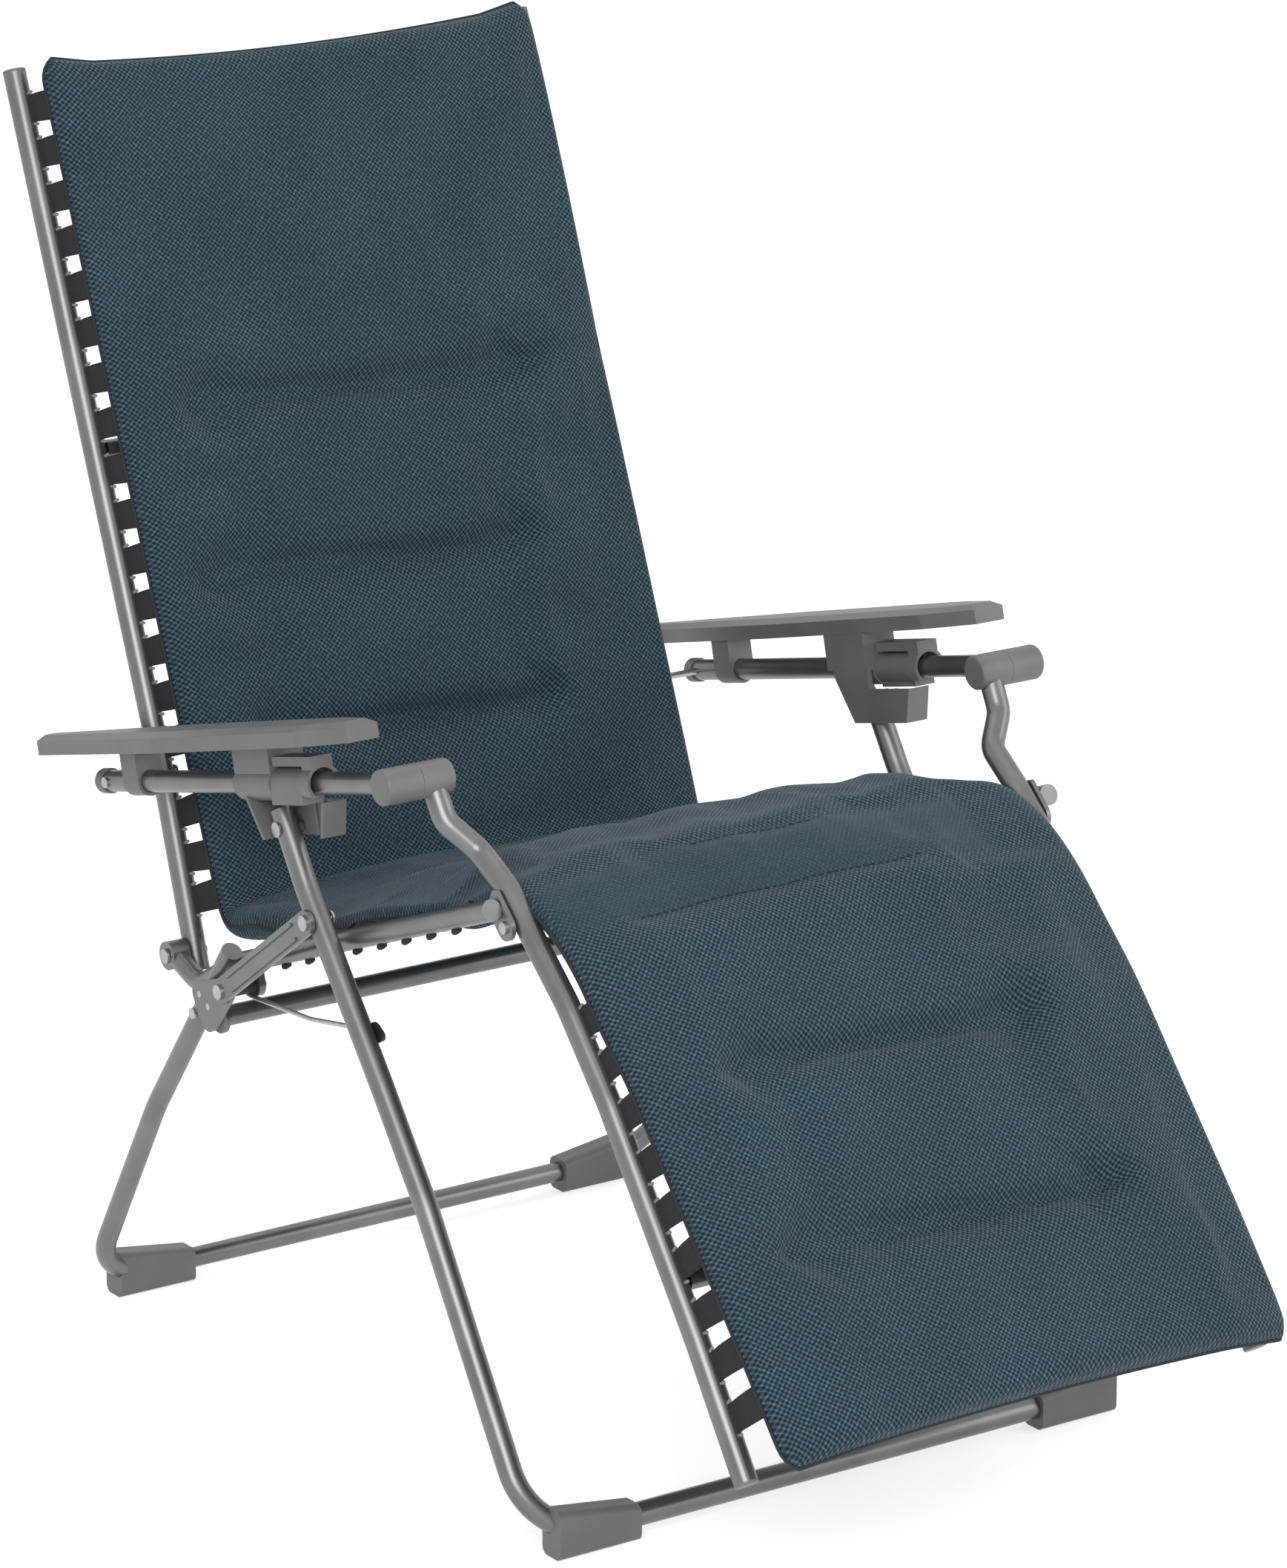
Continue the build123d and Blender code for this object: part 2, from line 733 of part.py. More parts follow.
# Back frame
def back_tube(side):
    x = side * back_tube_x
    route = [(x, y, z) for y, z in (back_top, back_bend, back_foot)]
    inner = side * (back_tube_x - back_tube_radius - overrun)
    outer = side * (back_tube_x + back_tube_radius + overrun)
    with BuildPart() as tube:
        add(bent_tube(route, [back_bend_radius], back_tube_radius))
        bore = pivot_pin_radius + running_clearance
        add(cross_rod(inner, outer, *back_pivot, bore), mode=Mode.SUBTRACT)
        bore = rail_pin_radius + running_clearance
        add(cross_rod(inner, outer, *rail_pivot, bore), mode=Mode.SUBTRACT)
    save(tube.part, f"back_tube_{hands[side]}")


def tube_plug(x, end, direction, tube_radius, depth):
    """Moulded plug in the open end of a tube, pointing out of it."""
    outward = (0, direction[0], direction[1])
    face = Plane(origin=(x, *end), x_dir=(1, 0, 0), z_dir=outward)
    with BuildPart() as plug:
        with BuildSketch(face):
            Circle(tube_radius)
        extrude(amount=plug_cap)
        with BuildSketch(face):
            Circle(tube_radius - tube_wall - running_clearance)
        extrude(amount=-depth)
        rim = plug.edges().filter_by(GeomType.CIRCLE).group_by(SortBy.RADIUS)[-1]
        top = rim.sort_by(lambda edge: (edge.center() - face.origin).dot(face.z_dir))[-1]
        fillet(top, plug_cap / 2)
    return plug.part


def back_plugs():
    """Plugs in the top and bottom ends of the back tubes."""
    up, _ = unit(back_bend, back_top)
    down, _ = unit(back_bend, back_foot)
    with BuildPart() as plugs:
        for side in hands:
            add(tube_plug(side * back_tube_x, back_top, up, back_tube_radius, plug_depth))
            add(tube_plug(side * back_tube_x, back_foot, down, back_tube_radius, foot_plug_depth))
    save(plugs.part, "back_plugs")


def back_brace():
    """Cross tube behind the mat."""
    y, z = along(back_top, back_bend, back_brace_distance)
    half = back_tube_x - back_tube_radius - weld_gap
    with BuildPart() as brace:
        add(bent_tube([(-half, y, z), (half, y, z)], [], brace_radius))
    save(brace.part, "back_brace")


# Rails
def rail_place(distance, lift=0.0, x=0.0):
    """Point at a distance forward from the rail pivot and square above the rail."""
    (dy, dz), _ = unit(rail_pivot, barrel)
    return (x, rail_pivot_y + dy * distance + dz * lift, rail_pivot_z + dz * distance - dy * lift)


def rail_plane(distance, side_x):
    """Plane square to the rail, its x axis lateral and its y axis up."""
    (dy, dz), _ = unit(rail_pivot, barrel)
    return Plane(origin=rail_place(distance, 0, side_x), x_dir=(1, 0, 0), z_dir=(0, -dy, -dz))


def rail_length():
    return unit(rail_pivot, barrel)[1]


def rail(side):
    x = side * rail_x
    front = rail_length() - barrel_radius / 2
    with BuildPart() as tube:
        add(bent_tube([rail_place(-rail_tail, 0, x), rail_place(front, 0, x)], [], rail_radius))
        add(cross_rod(side * barrel_seam_x, side * barrel_outer_x, *barrel, barrel_radius + weld_gap), mode=Mode.SUBTRACT)
        inner = side * (rail_x - rail_radius - overrun)
        outer = side * (rail_x + rail_radius + overrun)
        add(cross_rod(inner, outer, *rail_pivot, rail_pin_radius + running_clearance), mode=Mode.SUBTRACT)
    save(tube.part, f"rail_{hands[side]}")


def rail_caps():
    """Moulded caps over the rear ends of the rails."""
    with BuildPart() as caps:
        for side in hands:
            with BuildSketch(rail_plane(-rail_tail, side * rail_x)):
                Circle(rail_cap_radius)
            extrude(amount=plug_cap)
            with BuildSketch(rail_plane(-rail_tail, side * rail_x)):
                Circle(rail_cap_radius)
                Circle(rail_radius + running_clearance, mode=Mode.SUBTRACT)
            extrude(amount=-rail_cap_length)
    save(caps.part, "rail_caps")


def rail_pins():
    """Pins from the rails through the back tubes."""
    with BuildPart() as pins:
        for side in hands:
            inner = back_tube_x - back_tube_radius
            outer = rail_x + rail_radius
            add(cross_rod(side * outer, side * inner, *rail_pivot, rail_pin_radius))
            add(cross_rod(side * inner, side * (inner - rivet_head_height), *rail_pivot, rivet_head_radius))
            add(cross_rod(side * outer, side * (outer + rivet_head_height), *rail_pivot, rivet_head_radius))
    save(pins.part, "rail_pins")


def barrel_outer(side):
    """Outer half of the barrel hinge, fixed on the rail, with its short pin."""
    with BuildPart() as half:
        start = side * (barrel_seam_x + body_clearance / 2)
        add(cross_rod(start, side * barrel_outer_x, *barrel, barrel_radius))
        rim = half.edges().filter_by(GeomType.CIRCLE).sort_by(Axis.X)
        fillet(rim[-1] if side > 0 else rim[0], barrel_edge)
        pin_end = side * (barrel_seam_x - barrel_pin_reach)
        add(cross_rod(start, pin_end, *barrel, barrel_pin_radius))
    save(half.part, f"barrel_outer_{hands[side]}")


def barrel_inner(side):
    """Inner half of the barrel hinge, fixed on the leg rest tube, hollow inside."""
    with BuildPart() as half:
        start = side * (barrel_seam_x - body_clearance / 2)
        add(cross_rod(start, side * barrel_inner_x, *barrel, barrel_radius))
        rim = half.edges().filter_by(GeomType.CIRCLE).sort_by(Axis.X)
        fillet(rim[0] if side > 0 else rim[-1], barrel_edge)
        pocket_end = side * (barrel_seam_x - barrel_pocket_depth)
        add(cross_rod(start, pocket_end, *barrel, barrel_pocket_radius), mode=Mode.SUBTRACT)
    save(half.part, f"barrel_inner_{hands[side]}")


# Leg rest
def legrest_route(side):
    points = [
        (side * (barrel_seam_x + barrel_inner_x) / 2, barrel_y, barrel_z),
        (side * legrest_neck_x, legrest_neck_y, legrest_neck_z),
        (side * legrest_shoulder_x, legrest_shoulder_y, legrest_shoulder_z),
        (side * legrest_tube_x, legrest_bend_y, legrest_bend_z),
        (side * legrest_tube_x, legrest_knee_y, legrest_knee_z),
        (side * legrest_tube_x, legrest_shin_y, legrest_shin_z),
        (side * legrest_tube_x, legrest_calf_y, legrest_calf_z),
        (side * legrest_tube_x, legrest_end_y, legrest_end_z),
    ]
    shoulder = legrest_shoulder_radius
    bend = legrest_bend_radius
    return points, [shoulder, shoulder, shoulder, bend * 2, bend * 2, bend * 3]


def legrest_tube(side):
    points, radii = legrest_route(side)
    with BuildPart() as tube:
        add(bent_tube(points, radii, legrest_tube_radius))
        add(cross_rod(side * barrel_seam_x, side * barrel_inner_x, *barrel, barrel_radius + weld_gap), mode=Mode.SUBTRACT)
        inner = side * (legrest_tube_x - legrest_tube_radius - overrun)
        outer = side * (legrest_tube_x + legrest_tube_radius + overrun)
        add(cross_rod(inner, outer, *knee, pivot_pin_radius + running_clearance), mode=Mode.SUBTRACT)
    save(tube.part, f"legrest_tube_{hands[side]}")


def legrest_brace():
    """Cross tube behind the mat, low on the leg rest."""
    calf = (legrest_calf_y, legrest_calf_z)
    shin = (legrest_shin_y, legrest_shin_z)
    y, z = along(shin, calf, math.dist(shin, calf) * legrest_brace_share)
    half = legrest_tube_x - legrest_tube_radius - weld_gap
    with BuildPart() as brace:
        add(bent_tube([(-half, y, z), (half, y, z)], [], brace_radius))
    save(brace.part, "legrest_brace")


def legrest_plugs():
    end = (legrest_end_y, legrest_end_z)
    down, _ = unit((legrest_calf_y, legrest_calf_z), end)
    with BuildPart() as plugs:
        for side in hands:
            add(tube_plug(side * legrest_tube_x, end, down, legrest_tube_radius, plug_depth))
    save(plugs.part, "legrest_plugs")


# Armrests, drawn in planes along the rail
def arm_plane(side, lift):
    """Plane of the armrest board: x forward, y lateral to +X, z square up from the board."""
    (dy, dz), _ = unit(rail_pivot, barrel)
    turn = math.radians(arm_pitch)
    fy = dy * math.cos(turn) + dz * math.sin(turn)
    fz = dz * math.cos(turn) - dy * math.sin(turn)
    _, y, z = rail_place(arm_level, arm_lift)
    origin = (side * arm_x, y + fz * lift, z - fy * lift)
    return Plane(origin=origin, x_dir=(0, fy, fz), z_dir=(0, fz, -fy))


def arm_under(distance):
    """Height above the rail of the armrest's underside, less its weld gap."""
    return arm_lift + (distance - arm_level) * math.tan(math.radians(arm_pitch)) - weld_gap


def arm_outline(inset):
    """Outline of the armrest, drawn in by an inset."""
    half = arm_width / 2 - inset
    front = arm_front - arm_level - inset
    rear = arm_rear - arm_level + inset
    nose = arm_front_width / 2 - inset / 2
    tail = arm_rear_width / 2 - inset / 2
    shoulder = arm_front - arm_level - arm_front_taper
    hip_line = arm_rear - arm_level + arm_rear_taper
    return [
        (front, -nose), (front, nose), (shoulder, half), (hip_line, half),
        (rear + tail / 2, tail), (rear, tail / 2), (rear, -tail / 2),
        (rear + tail / 2, -tail), (hip_line, -half), (shoulder, -half),
    ]


def armrest(side):
    """Long board with a crowned top, blunt nose and tapered tail."""
    with BuildPart() as board:
        for lift, inset in ((0, 0), (arm_thickness, 0)):
            with BuildSketch(arm_plane(side, lift)):
                with BuildLine():
                    Polyline(*arm_outline(inset), close=True)
                make_face()
        loft()
        for lift, inset in ((arm_thickness, 0), (arm_thickness + arm_crown, arm_crown * arm_crown_share)):
            with BuildSketch(arm_plane(side, lift)):
                with BuildLine():
                    Polyline(*arm_outline(inset), close=True)
                make_face()
        loft()
    save(board.part, f"armrest_{hands[side]}")


def bracket_side_plane(x):
    """Plane of the bracket's outer plate: x forward along the rail, y up."""
    (dy, dz), _ = unit(rail_pivot, barrel)
    return Plane(origin=(x, *rail_pivot), x_dir=(0, dy, dz), z_dir=(-1, 0, 0))


def bracket_outline():
    """V-shaped outline in rail coordinates, from the armrest down to the leg."""
    return [
        (bracket_rear, arm_under(bracket_rear)),
        (bracket_waist_rear, -bracket_waist_drop),
        (bracket_foot_rear, -bracket_foot_drop),
        (bracket_foot_front, -bracket_foot_drop),
        (bracket_front, -clamp_drop),
        (bracket_sleeve_front, -clamp_drop),
        (bracket_sleeve_front, arm_under(bracket_sleeve_front)),
    ]


def slab(x_low, x_high, outline):
    """Prism of a rail-coordinate outline between two lateral planes."""
    with BuildPart() as prism:
        with BuildSketch(bracket_side_plane(x_high)):
            with BuildLine():
                Polyline(*outline, close=True)
            make_face()
        extrude(amount=x_high - x_low)
    return prism.part


def rail_sleeve(side, rear, front, radius, bore):
    """Round sleeve along the rail between two distances from its pivot."""
    with BuildPart() as sleeve:
        with BuildSketch(rail_plane(front, side * rail_x)):
            Circle(radius)
            if bore > 0:
                Circle(bore, mode=Mode.SUBTRACT)
        extrude(amount=front - rear)
    return sleeve.part


def between(side, near, far):
    return sorted((side * near, side * far))


def armrest_bracket(side):
    """Moulded bracket: sleeve on the rail and a fork that the top of the leg stands in."""
    bore = rail_radius + body_clearance
    plate = between(side, bracket_plate_inner_x, bracket_plate_outer_x)
    across = between(side, bracket_plate_inner_x, bracket_side_x)
    with BuildPart() as bracket:
        add(slab(*plate, bracket_outline()))
        add(rail_sleeve(side, bracket_rear, bracket_sleeve_front, bracket_sleeve_radius, 0))
        add(slab(*across, [
            (bracket_rear, 0),
            (bracket_rear, arm_under(bracket_rear)),
            (bracket_sleeve_front, arm_under(bracket_sleeve_front)),
            (bracket_sleeve_front, 0),
        ]))
        add(slab(*across, [
            (bracket_waist_rear, -bracket_waist_drop),
            (bracket_foot_rear, -bracket_foot_drop),
            (bracket_foot_rear + bracket_wall, -bracket_foot_drop),
            (bracket_waist_rear + bracket_wall, -bracket_waist_drop),
        ]))
        add(slab(*between(side, bracket_plate_inner_x, rail_x), [
            (bracket_front - bracket_wall, -clamp_drop),
            (bracket_foot_front - bracket_wall, -bracket_foot_drop),
            (bracket_foot_front, -bracket_foot_drop),
            (bracket_front, -clamp_drop),
        ]))
        plate_face = side * bracket_plate_outer_x
        for offset in (0, bracket_rib_gap):
            foot = bracket_foot_front - bracket_rib_setback + offset
            rib = [
                (foot, -clamp_drop),
                (foot, -bracket_foot_drop),
                (foot + bracket_rib_width, -bracket_foot_drop),
                (foot + bracket_rib_width, -clamp_drop),
            ]
            add(slab(*sorted((plate_face, plate_face + side * bracket_rib_height)), rib))
        rear = bracket_rear - overrun
        front = bracket_sleeve_front + overrun
        add(rail_sleeve(side, rear, front, bore, 0), mode=Mode.SUBTRACT)
        pocket_end = side * (bracket_plate_outer_x - bracket_pocket_depth)
        pocket_start = side * (bracket_plate_outer_x + overrun)
        pocket = cross_rod(pocket_start, pocket_end, *arm_pivot, bracket_pocket_radius)
        add(pocket, mode=Mode.SUBTRACT)
    save(bracket.part, f"armrest_bracket_{hands[side]}")


def rear_guides():
    """Guide blocks under the rear of the armrests, round the rails."""
    bore = rail_radius + body_clearance
    block = [
        (guide_rear, 0),
        (guide_rear, arm_under(guide_rear)),
        (guide_front, arm_under(guide_front)),
        (guide_front, 0),
    ]
    with BuildPart() as guides:
        for side in hands:
            add(rail_sleeve(side, guide_rear, guide_front, guide_radius, 0))
            add(slab(*between(side, rail_x - guide_radius, rail_x + guide_radius), block))
            bored = rail_sleeve(side, guide_rear - overrun, guide_front + overrun, bore, 0)
            add(bored, mode=Mode.SUBTRACT)
    save(guides.part, "rear_guides")


def clamp_sleeves():
    """Clamp sleeves in front of the brackets, round the rails."""
    rear = bracket_sleeve_front + weld_gap
    bore = rail_radius + body_clearance
    foot_half = clamp_radius / 2
    foot = [
        (rear, -clamp_drop + weld_gap),
        (rear, 0),
        (clamp_front, 0),
        (clamp_front, -clamp_drop + weld_gap),
    ]
    with BuildPart() as sleeves:
        for side in hands:
            add(rail_sleeve(side, rear, clamp_front, clamp_radius, 0))
            add(slab(*between(side, rail_x - foot_half, rail_x + clamp_radius), foot))
            bored = rail_sleeve(side, rear - overrun, clamp_front + overrun, bore, 0)
            add(bored, mode=Mode.SUBTRACT)
    save(sleeves.part, "clamp_sleeves")


def lock_lever(side):
    """C-shaped ring round the rail with a flat lever under the armrest."""
    ring_rear = clamp_front + body_clearance
    bore = ring_radius - ring_wall
    with BuildPart() as lever:
        add(rail_sleeve(side, ring_rear, ring_front, ring_radius, 0))
        lever_top = lever_bottom + lever_height
        arm = [
            (lever_rear, lever_bottom),
            (lever_rear, lever_top),
            (ring_front, lever_top),
            (ring_front, lever_bottom - ring_wall),
            (ring_rear, lever_bottom - ring_wall),
            (ring_rear, lever_bottom),
        ]
        add(slab(*between(side, rail_x - lever_width / 2, rail_x + lever_width / 2), arm))
        bored = rail_sleeve(side, ring_rear - overrun, ring_front + overrun, bore, 0)
        add(bored, mode=Mode.SUBTRACT)
        mouth = math.radians(ring_opening / 2)
        reach = ring_radius * 2
        gap = [
            (ring_rear - overrun, -reach),
            (ring_rear - overrun, -ring_radius * math.cos(mouth)),
            (ring_front + overrun, -ring_radius * math.cos(mouth)),
            (ring_front + overrun, -reach),
        ]
        add(slab(*between(side, rail_x - reach, rail_x + reach), gap), mode=Mode.SUBTRACT)
    save(lever.part, f"lock_lever_{hands[side]}")


# Padded mat: sections square to a side-view centre line
def mat_section(spot, direction, half_thickness, channel, depth=None):
    """Cushion section: flat back, bulged sides, crowned front, channel if asked."""
    side_x = mat_half_width - mat_side_bulge
    crown = half_thickness + mat_crown * half_thickness / mat_half_thickness
    middle = (side_x + mat_channel_reach) / 2
    at_reach = half_thickness + (crown - half_thickness) * (1 - (mat_channel_reach / side_x) ** 2)
    at_middle = half_thickness + (crown - half_thickness) * (1 - (middle / side_x) ** 2)
    sink = mat_channel_depth if channel else 0
    low = -(depth or half_thickness)
    high = half_thickness
    waist = (low + high) / 2
    groove = at_reach - sink
    centre = crown - sink
    reach = mat_channel_reach
    face = Plane(origin=(0, *spot), x_dir=(1, 0, 0), z_dir=(0, *direction))
    with BuildSketch(face) as section:
        with BuildLine():
            Line((-side_x, low), (side_x, low))
            ThreePointArc((side_x, low), (mat_half_width, waist), (side_x, high))
            ThreePointArc((side_x, high), (middle, at_middle), (reach, groove))
            ThreePointArc((reach, groove), (0, centre), (-reach, groove))
            ThreePointArc((-reach, groove), (-middle, at_middle), (-side_x, high))
            ThreePointArc((-side_x, high), (-mat_half_width, waist), (-side_x, low))
        make_face()
    return section.sketch


def mat_length(name, stations):
    """Ruled cushion through stations of (point, direction, half thickness, channel, depth)."""
    with BuildPart() as mat:
        loft([mat_section(*station).faces()[0] for station in stations], ruled=True)
    save(mat.part, name)


def straight_stations(start, end, channels, hem_at_start, hem_at_end):
    """Stations along a straight run, with a thin hem at the open ends."""
    direction, length = unit(start, end)
    full = mat_half_thickness
    marks = []
    if hem_at_start:
        marks += [(0, mat_hem_half_thickness, False), (mat_hem_length, full, False)]
    else:
        marks += [(0, full, False)]
    for channel in channels:
        for step in (-mat_channel_half, 0, mat_channel_half):
            marks.append((channel + step, full, step == 0))
    if hem_at_end:
        marks += [(length - mat_hem_length, full, False), (length, mat_hem_half_thickness, False)]
    else:
        marks += [(length, full, False)]
    return [(along(start, end, mark), direction, half, channel) for mark, half, channel in marks]


back_down, _ = unit(back_top, back_bend)
back_mat_top = (back_top[0] + back_down[1] * mat_lift_back, back_top[1] - back_down[0] * mat_lift_back)
mat_back_end = back_length + mat_back_extension
back_line_end = (back_mat_top[0] + back_down[0] * mat_back_end, back_mat_top[1] + back_down[1] * mat_back_end)
mat_crease = (mat_crease_y, mat_crease_z)
seat_mat_rear = (mat_seat_rear_y, mat_seat_rear_z)
seat_mat_middle = (mat_seat_middle_y, mat_seat_middle_z)
seat_mat_front = (mat_seat_front_y, mat_seat_front_z)
seat_mat_end = (mat_seat_end_y, mat_seat_end_z)
knee_mat_top = (mat_knee_y, mat_knee_z)
leg_mat_start = (mat_leg_start_y, mat_leg_start_z)
leg_mat_one = (mat_leg_one_y, mat_leg_one_z)
leg_mat_two = (mat_leg_two_y, mat_leg_two_z)
leg_mat_three = (mat_leg_three_y, mat_leg_three_z)
leg_mat_end = (mat_leg_end_y, mat_leg_end_z)


def halfway(before, after):
    """Direction that bisects two directions."""
    total = (before[0] + after[0], before[1] + after[1])
    size = math.hypot(*total)
    return (total[0] / size, total[1] / size)


def back_mat():
    _, length = unit(back_mat_top, back_line_end)
    channels = [share * length for share in mat_back_channel_shares]
    mat_length("back_mat", straight_stations(back_mat_top, back_line_end, channels, True, False))


def seat_mat():
    first, _ = unit(seat_mat_rear, seat_mat_middle)
    second, _ = unit(seat_mat_middle, seat_mat_front)
    third, _ = unit(seat_mat_front, seat_mat_end)
    full = mat_half_thickness
    mat_length("seat_mat", [
        (seat_mat_rear, first, full, False, mat_seat_depth),
        (seat_mat_middle, halfway(first, second), full, False, mat_seat_depth),
        (seat_mat_front, halfway(second, third), full, False, mat_seat_depth),
        (seat_mat_end, third, full, False, mat_seat_depth),
    ])


def legrest_mat():
    first, _ = unit(leg_mat_start, leg_mat_one)
    second, _ = unit(leg_mat_one, leg_mat_two)
    third, reach = unit(leg_mat_two, leg_mat_three)
    last, _ = unit(leg_mat_three, leg_mat_end)
    full = mat_half_thickness
    stations = [
        (leg_mat_start, first, full, False),
        (leg_mat_one, halfway(first, second), full, False),
        (along(leg_mat_two, leg_mat_one, mat_channel_half), second, full, False),
        (leg_mat_two, halfway(second, third), full, True),
        (along(leg_mat_two, leg_mat_three, mat_channel_half), third, full, False),
    ]
    for step in (-mat_channel_half, 0, mat_channel_half):
        spot = along(leg_mat_two, leg_mat_three, reach * mat_leg_channel_share + step)
        stations.append((spot, third, full, step == 0))
    stations += [
        (leg_mat_three, halfway(third, last), full, False),
        (along(leg_mat_end, leg_mat_three, mat_hem_length), last, full, False),
        (leg_mat_end, last, mat_hem_half_thickness, False),
    ]
    mat_length("legrest_mat", stations)


def crease_mat():
    """Bend of the mat between back and seat, which folds as the back reclines."""
    down = back_down
    forward, _ = unit(seat_mat_rear, seat_mat_middle)
    start = (back_line_end[0] + down[0] * mat_gap, back_line_end[1] + down[1] * mat_gap)
    end = (seat_mat_rear[0] - forward[0] * mat_gap, seat_mat_rear[1] - forward[1] * mat_gap)
    middle = halfway(down, forward)
    full = mat_half_thickness
    stations = [(start, down, full, False), (mat_crease, middle, full, False), (end, forward, full, False)]
    mat_length("crease_mat", stations)


def knee_mat():
    """Bend of the mat over the knee, which straightens as the leg rest rises."""
    before, _ = unit(seat_mat_front, seat_mat_end)
    after, _ = unit(leg_mat_start, leg_mat_one)
    start = (seat_mat_end[0] + before[0] * mat_gap, seat_mat_end[1] + before[1] * mat_gap)
    end = (leg_mat_start[0] - after[0] * mat_gap, leg_mat_start[1] - after[1] * mat_gap)
    full = mat_half_thickness
    stations = [(start, before, full, False), (knee_mat_top, halfway(before, after), full, False),
                (end, after, full, False)]
    mat_length("knee_mat", stations)


# Elastic clips
def clip_end(spot, tangent, reach, width):
    """Narrow end face of a clip, square to its reach and in line with its carrier."""
    square = (reach - tangent * reach.dot(tangent)).normalized()
    with BuildSketch(Plane(origin=spot, x_dir=tangent, z_dir=square)) as end:
        Rectangle(width, clip_thickness)
    return end.sketch.faces()[0]


def clip(side, tube_x, tube_spot, tube_radius, tube_direction, mat_spot, mat_direction, depth):
    """Tapered tab from a tube's surface to the bulged side of the mat."""
    bulge = mat_side_bulge
    half_side = (mat_half_thickness + depth) / 2
    side_radius = (half_side ** 2 + bulge ** 2) / (2 * bulge)
    sink = half_side - mat_half_thickness
    waist = (mat_spot[0] - mat_direction[1] * sink, mat_spot[1] + mat_direction[0] * sink)
    side_centre = Vector(side * (mat_half_width - side_radius), *waist)
    tube_centre = Vector(side * tube_x, *tube_spot)
    reach = (side_centre - tube_centre).normalized()
    near = tube_centre + reach * (tube_radius + clip_clear)
    far = side_centre - reach * (side_radius + clip_clear)
    with BuildPart() as tab:
        loft([
            clip_end(near, Vector(0, *tube_direction), reach, clip_tube_width),
            clip_end(far, Vector(0, *mat_direction), reach, clip_mat_width),
        ], ruled=True)
    return tab.part


back_pin_distance = math.dist(back_top, rail_pivot)


def back_clips():
    """Clips down both runs of the back tubes, past the rail pins."""
    count = int((mat_back_end - clip_mat_width / 2 - clip_start_back) / clip_pitch_back) + 1
    line = [back_mat_top, back_line_end]
    with BuildPart() as clips:
        for index in range(count):
            distance = clip_start_back + index * clip_pitch_back
            if abs(distance - back_pin_distance) < clip_pitch_back / 2:
                continue
            if distance < back_length:
                spot, direction = along(back_top, back_bend, distance), back_down
            else:
                spot = along(back_bend, back_foot, distance - back_length)
                direction, _ = unit(back_bend, back_foot)
            mat_spot, mat_direction = nearest_on(line, spot)
            for side in hands:
                place = (side, back_tube_x, spot, back_tube_radius, direction)
                add(clip(*place, mat_spot, mat_direction, mat_half_thickness))
    save(clips.part, "back_clips")


def nearest_on(line, spot):
    """Nearest point to a spot on a run of side-view points, and the run's direction."""
    best = None
    for start, end in zip(line, line[1:]):
        direction, length = unit(start, end)
        reach = (spot[0] - start[0]) * direction[0] + (spot[1] - start[1]) * direction[1]
        candidate = along(start, end, min(max(reach, 0), length))
        gap = math.dist(candidate, spot)
        if best is None or gap < best[0]:
            best = (gap, candidate, direction)
    return best[1], best[2]


def clip_tail(side, spot, direction):
    """Free end of a clip's strap, under the seat tube."""
    face = Plane(origin=(side * seat_tube_x, *spot), x_dir=(1, 0, 0), z_dir=(0, direction[0], direction[1]))
    down = -1 if face.y_dir.Z > 0 else 1
    near = seat_tube_radius + clip_clear
    half = clip_tail_reach / 2
    with BuildPart() as tail:
        with BuildSketch(face):
            with Locations((0, down * (near + clip_tail_thickness / 2))):
                Rectangle(2 * half, clip_tail_thickness)
        extrude(amount=clip_tail_width / 2, both=True)
    return tail.part


def seat_clips():
    """Clips along the straight run of the seat tubes, with their strap ends below."""
    line = [seat_mat_rear, seat_mat_middle, seat_mat_front, seat_mat_end]
    direction, length = unit(seat_front, seat_rear)
    count = int(length / clip_pitch_seat) - 1
    first = clip_pitch_seat / 2
    with BuildPart() as clips:
        for index in range(1, count):
            spot = along(seat_front, seat_rear, first + index * clip_pitch_seat)
            mat_spot, mat_direction = nearest_on(line, spot)
            for side in hands:
                place = (side, seat_tube_x, spot, seat_tube_radius, direction)
                add(clip(*place, mat_spot, mat_direction, mat_seat_depth))
                add(clip_tail(side, spot, direction))
    save(clips.part, "seat_clips")


def legrest_clips():
    """Clips along the leg rest tubes, from below the knee to above the foot."""
    line = [leg_mat_start, leg_mat_one, leg_mat_two, leg_mat_three, leg_mat_end]
    knee_end = (legrest_knee_y, legrest_knee_z)
    shin = (legrest_shin_y, legrest_shin_z)
    calf = (legrest_calf_y, legrest_calf_z)
    end = (legrest_end_y, legrest_end_z)
    travelled = clip_pitch_leg / 2
    with BuildPart() as clips:
        for run in ((knee_end, shin), (shin, calf), (calf, end)):
            direction, length = unit(*run)
            while travelled < length:
                spot = along(*run, travelled)
                mat_spot, mat_direction = nearest_on(line, spot)
                travelled += clip_pitch_leg
                if math.dist(mat_spot, leg_mat_end) < clip_mat_width:
                    continue
                for side in hands:
                    place = (side, legrest_tube_x, spot, legrest_tube_radius, direction)
                    add(clip(*place, mat_spot, mat_direction, mat_half_thickness))
            travelled -= length
    save(clips.part, "legrest_clips")


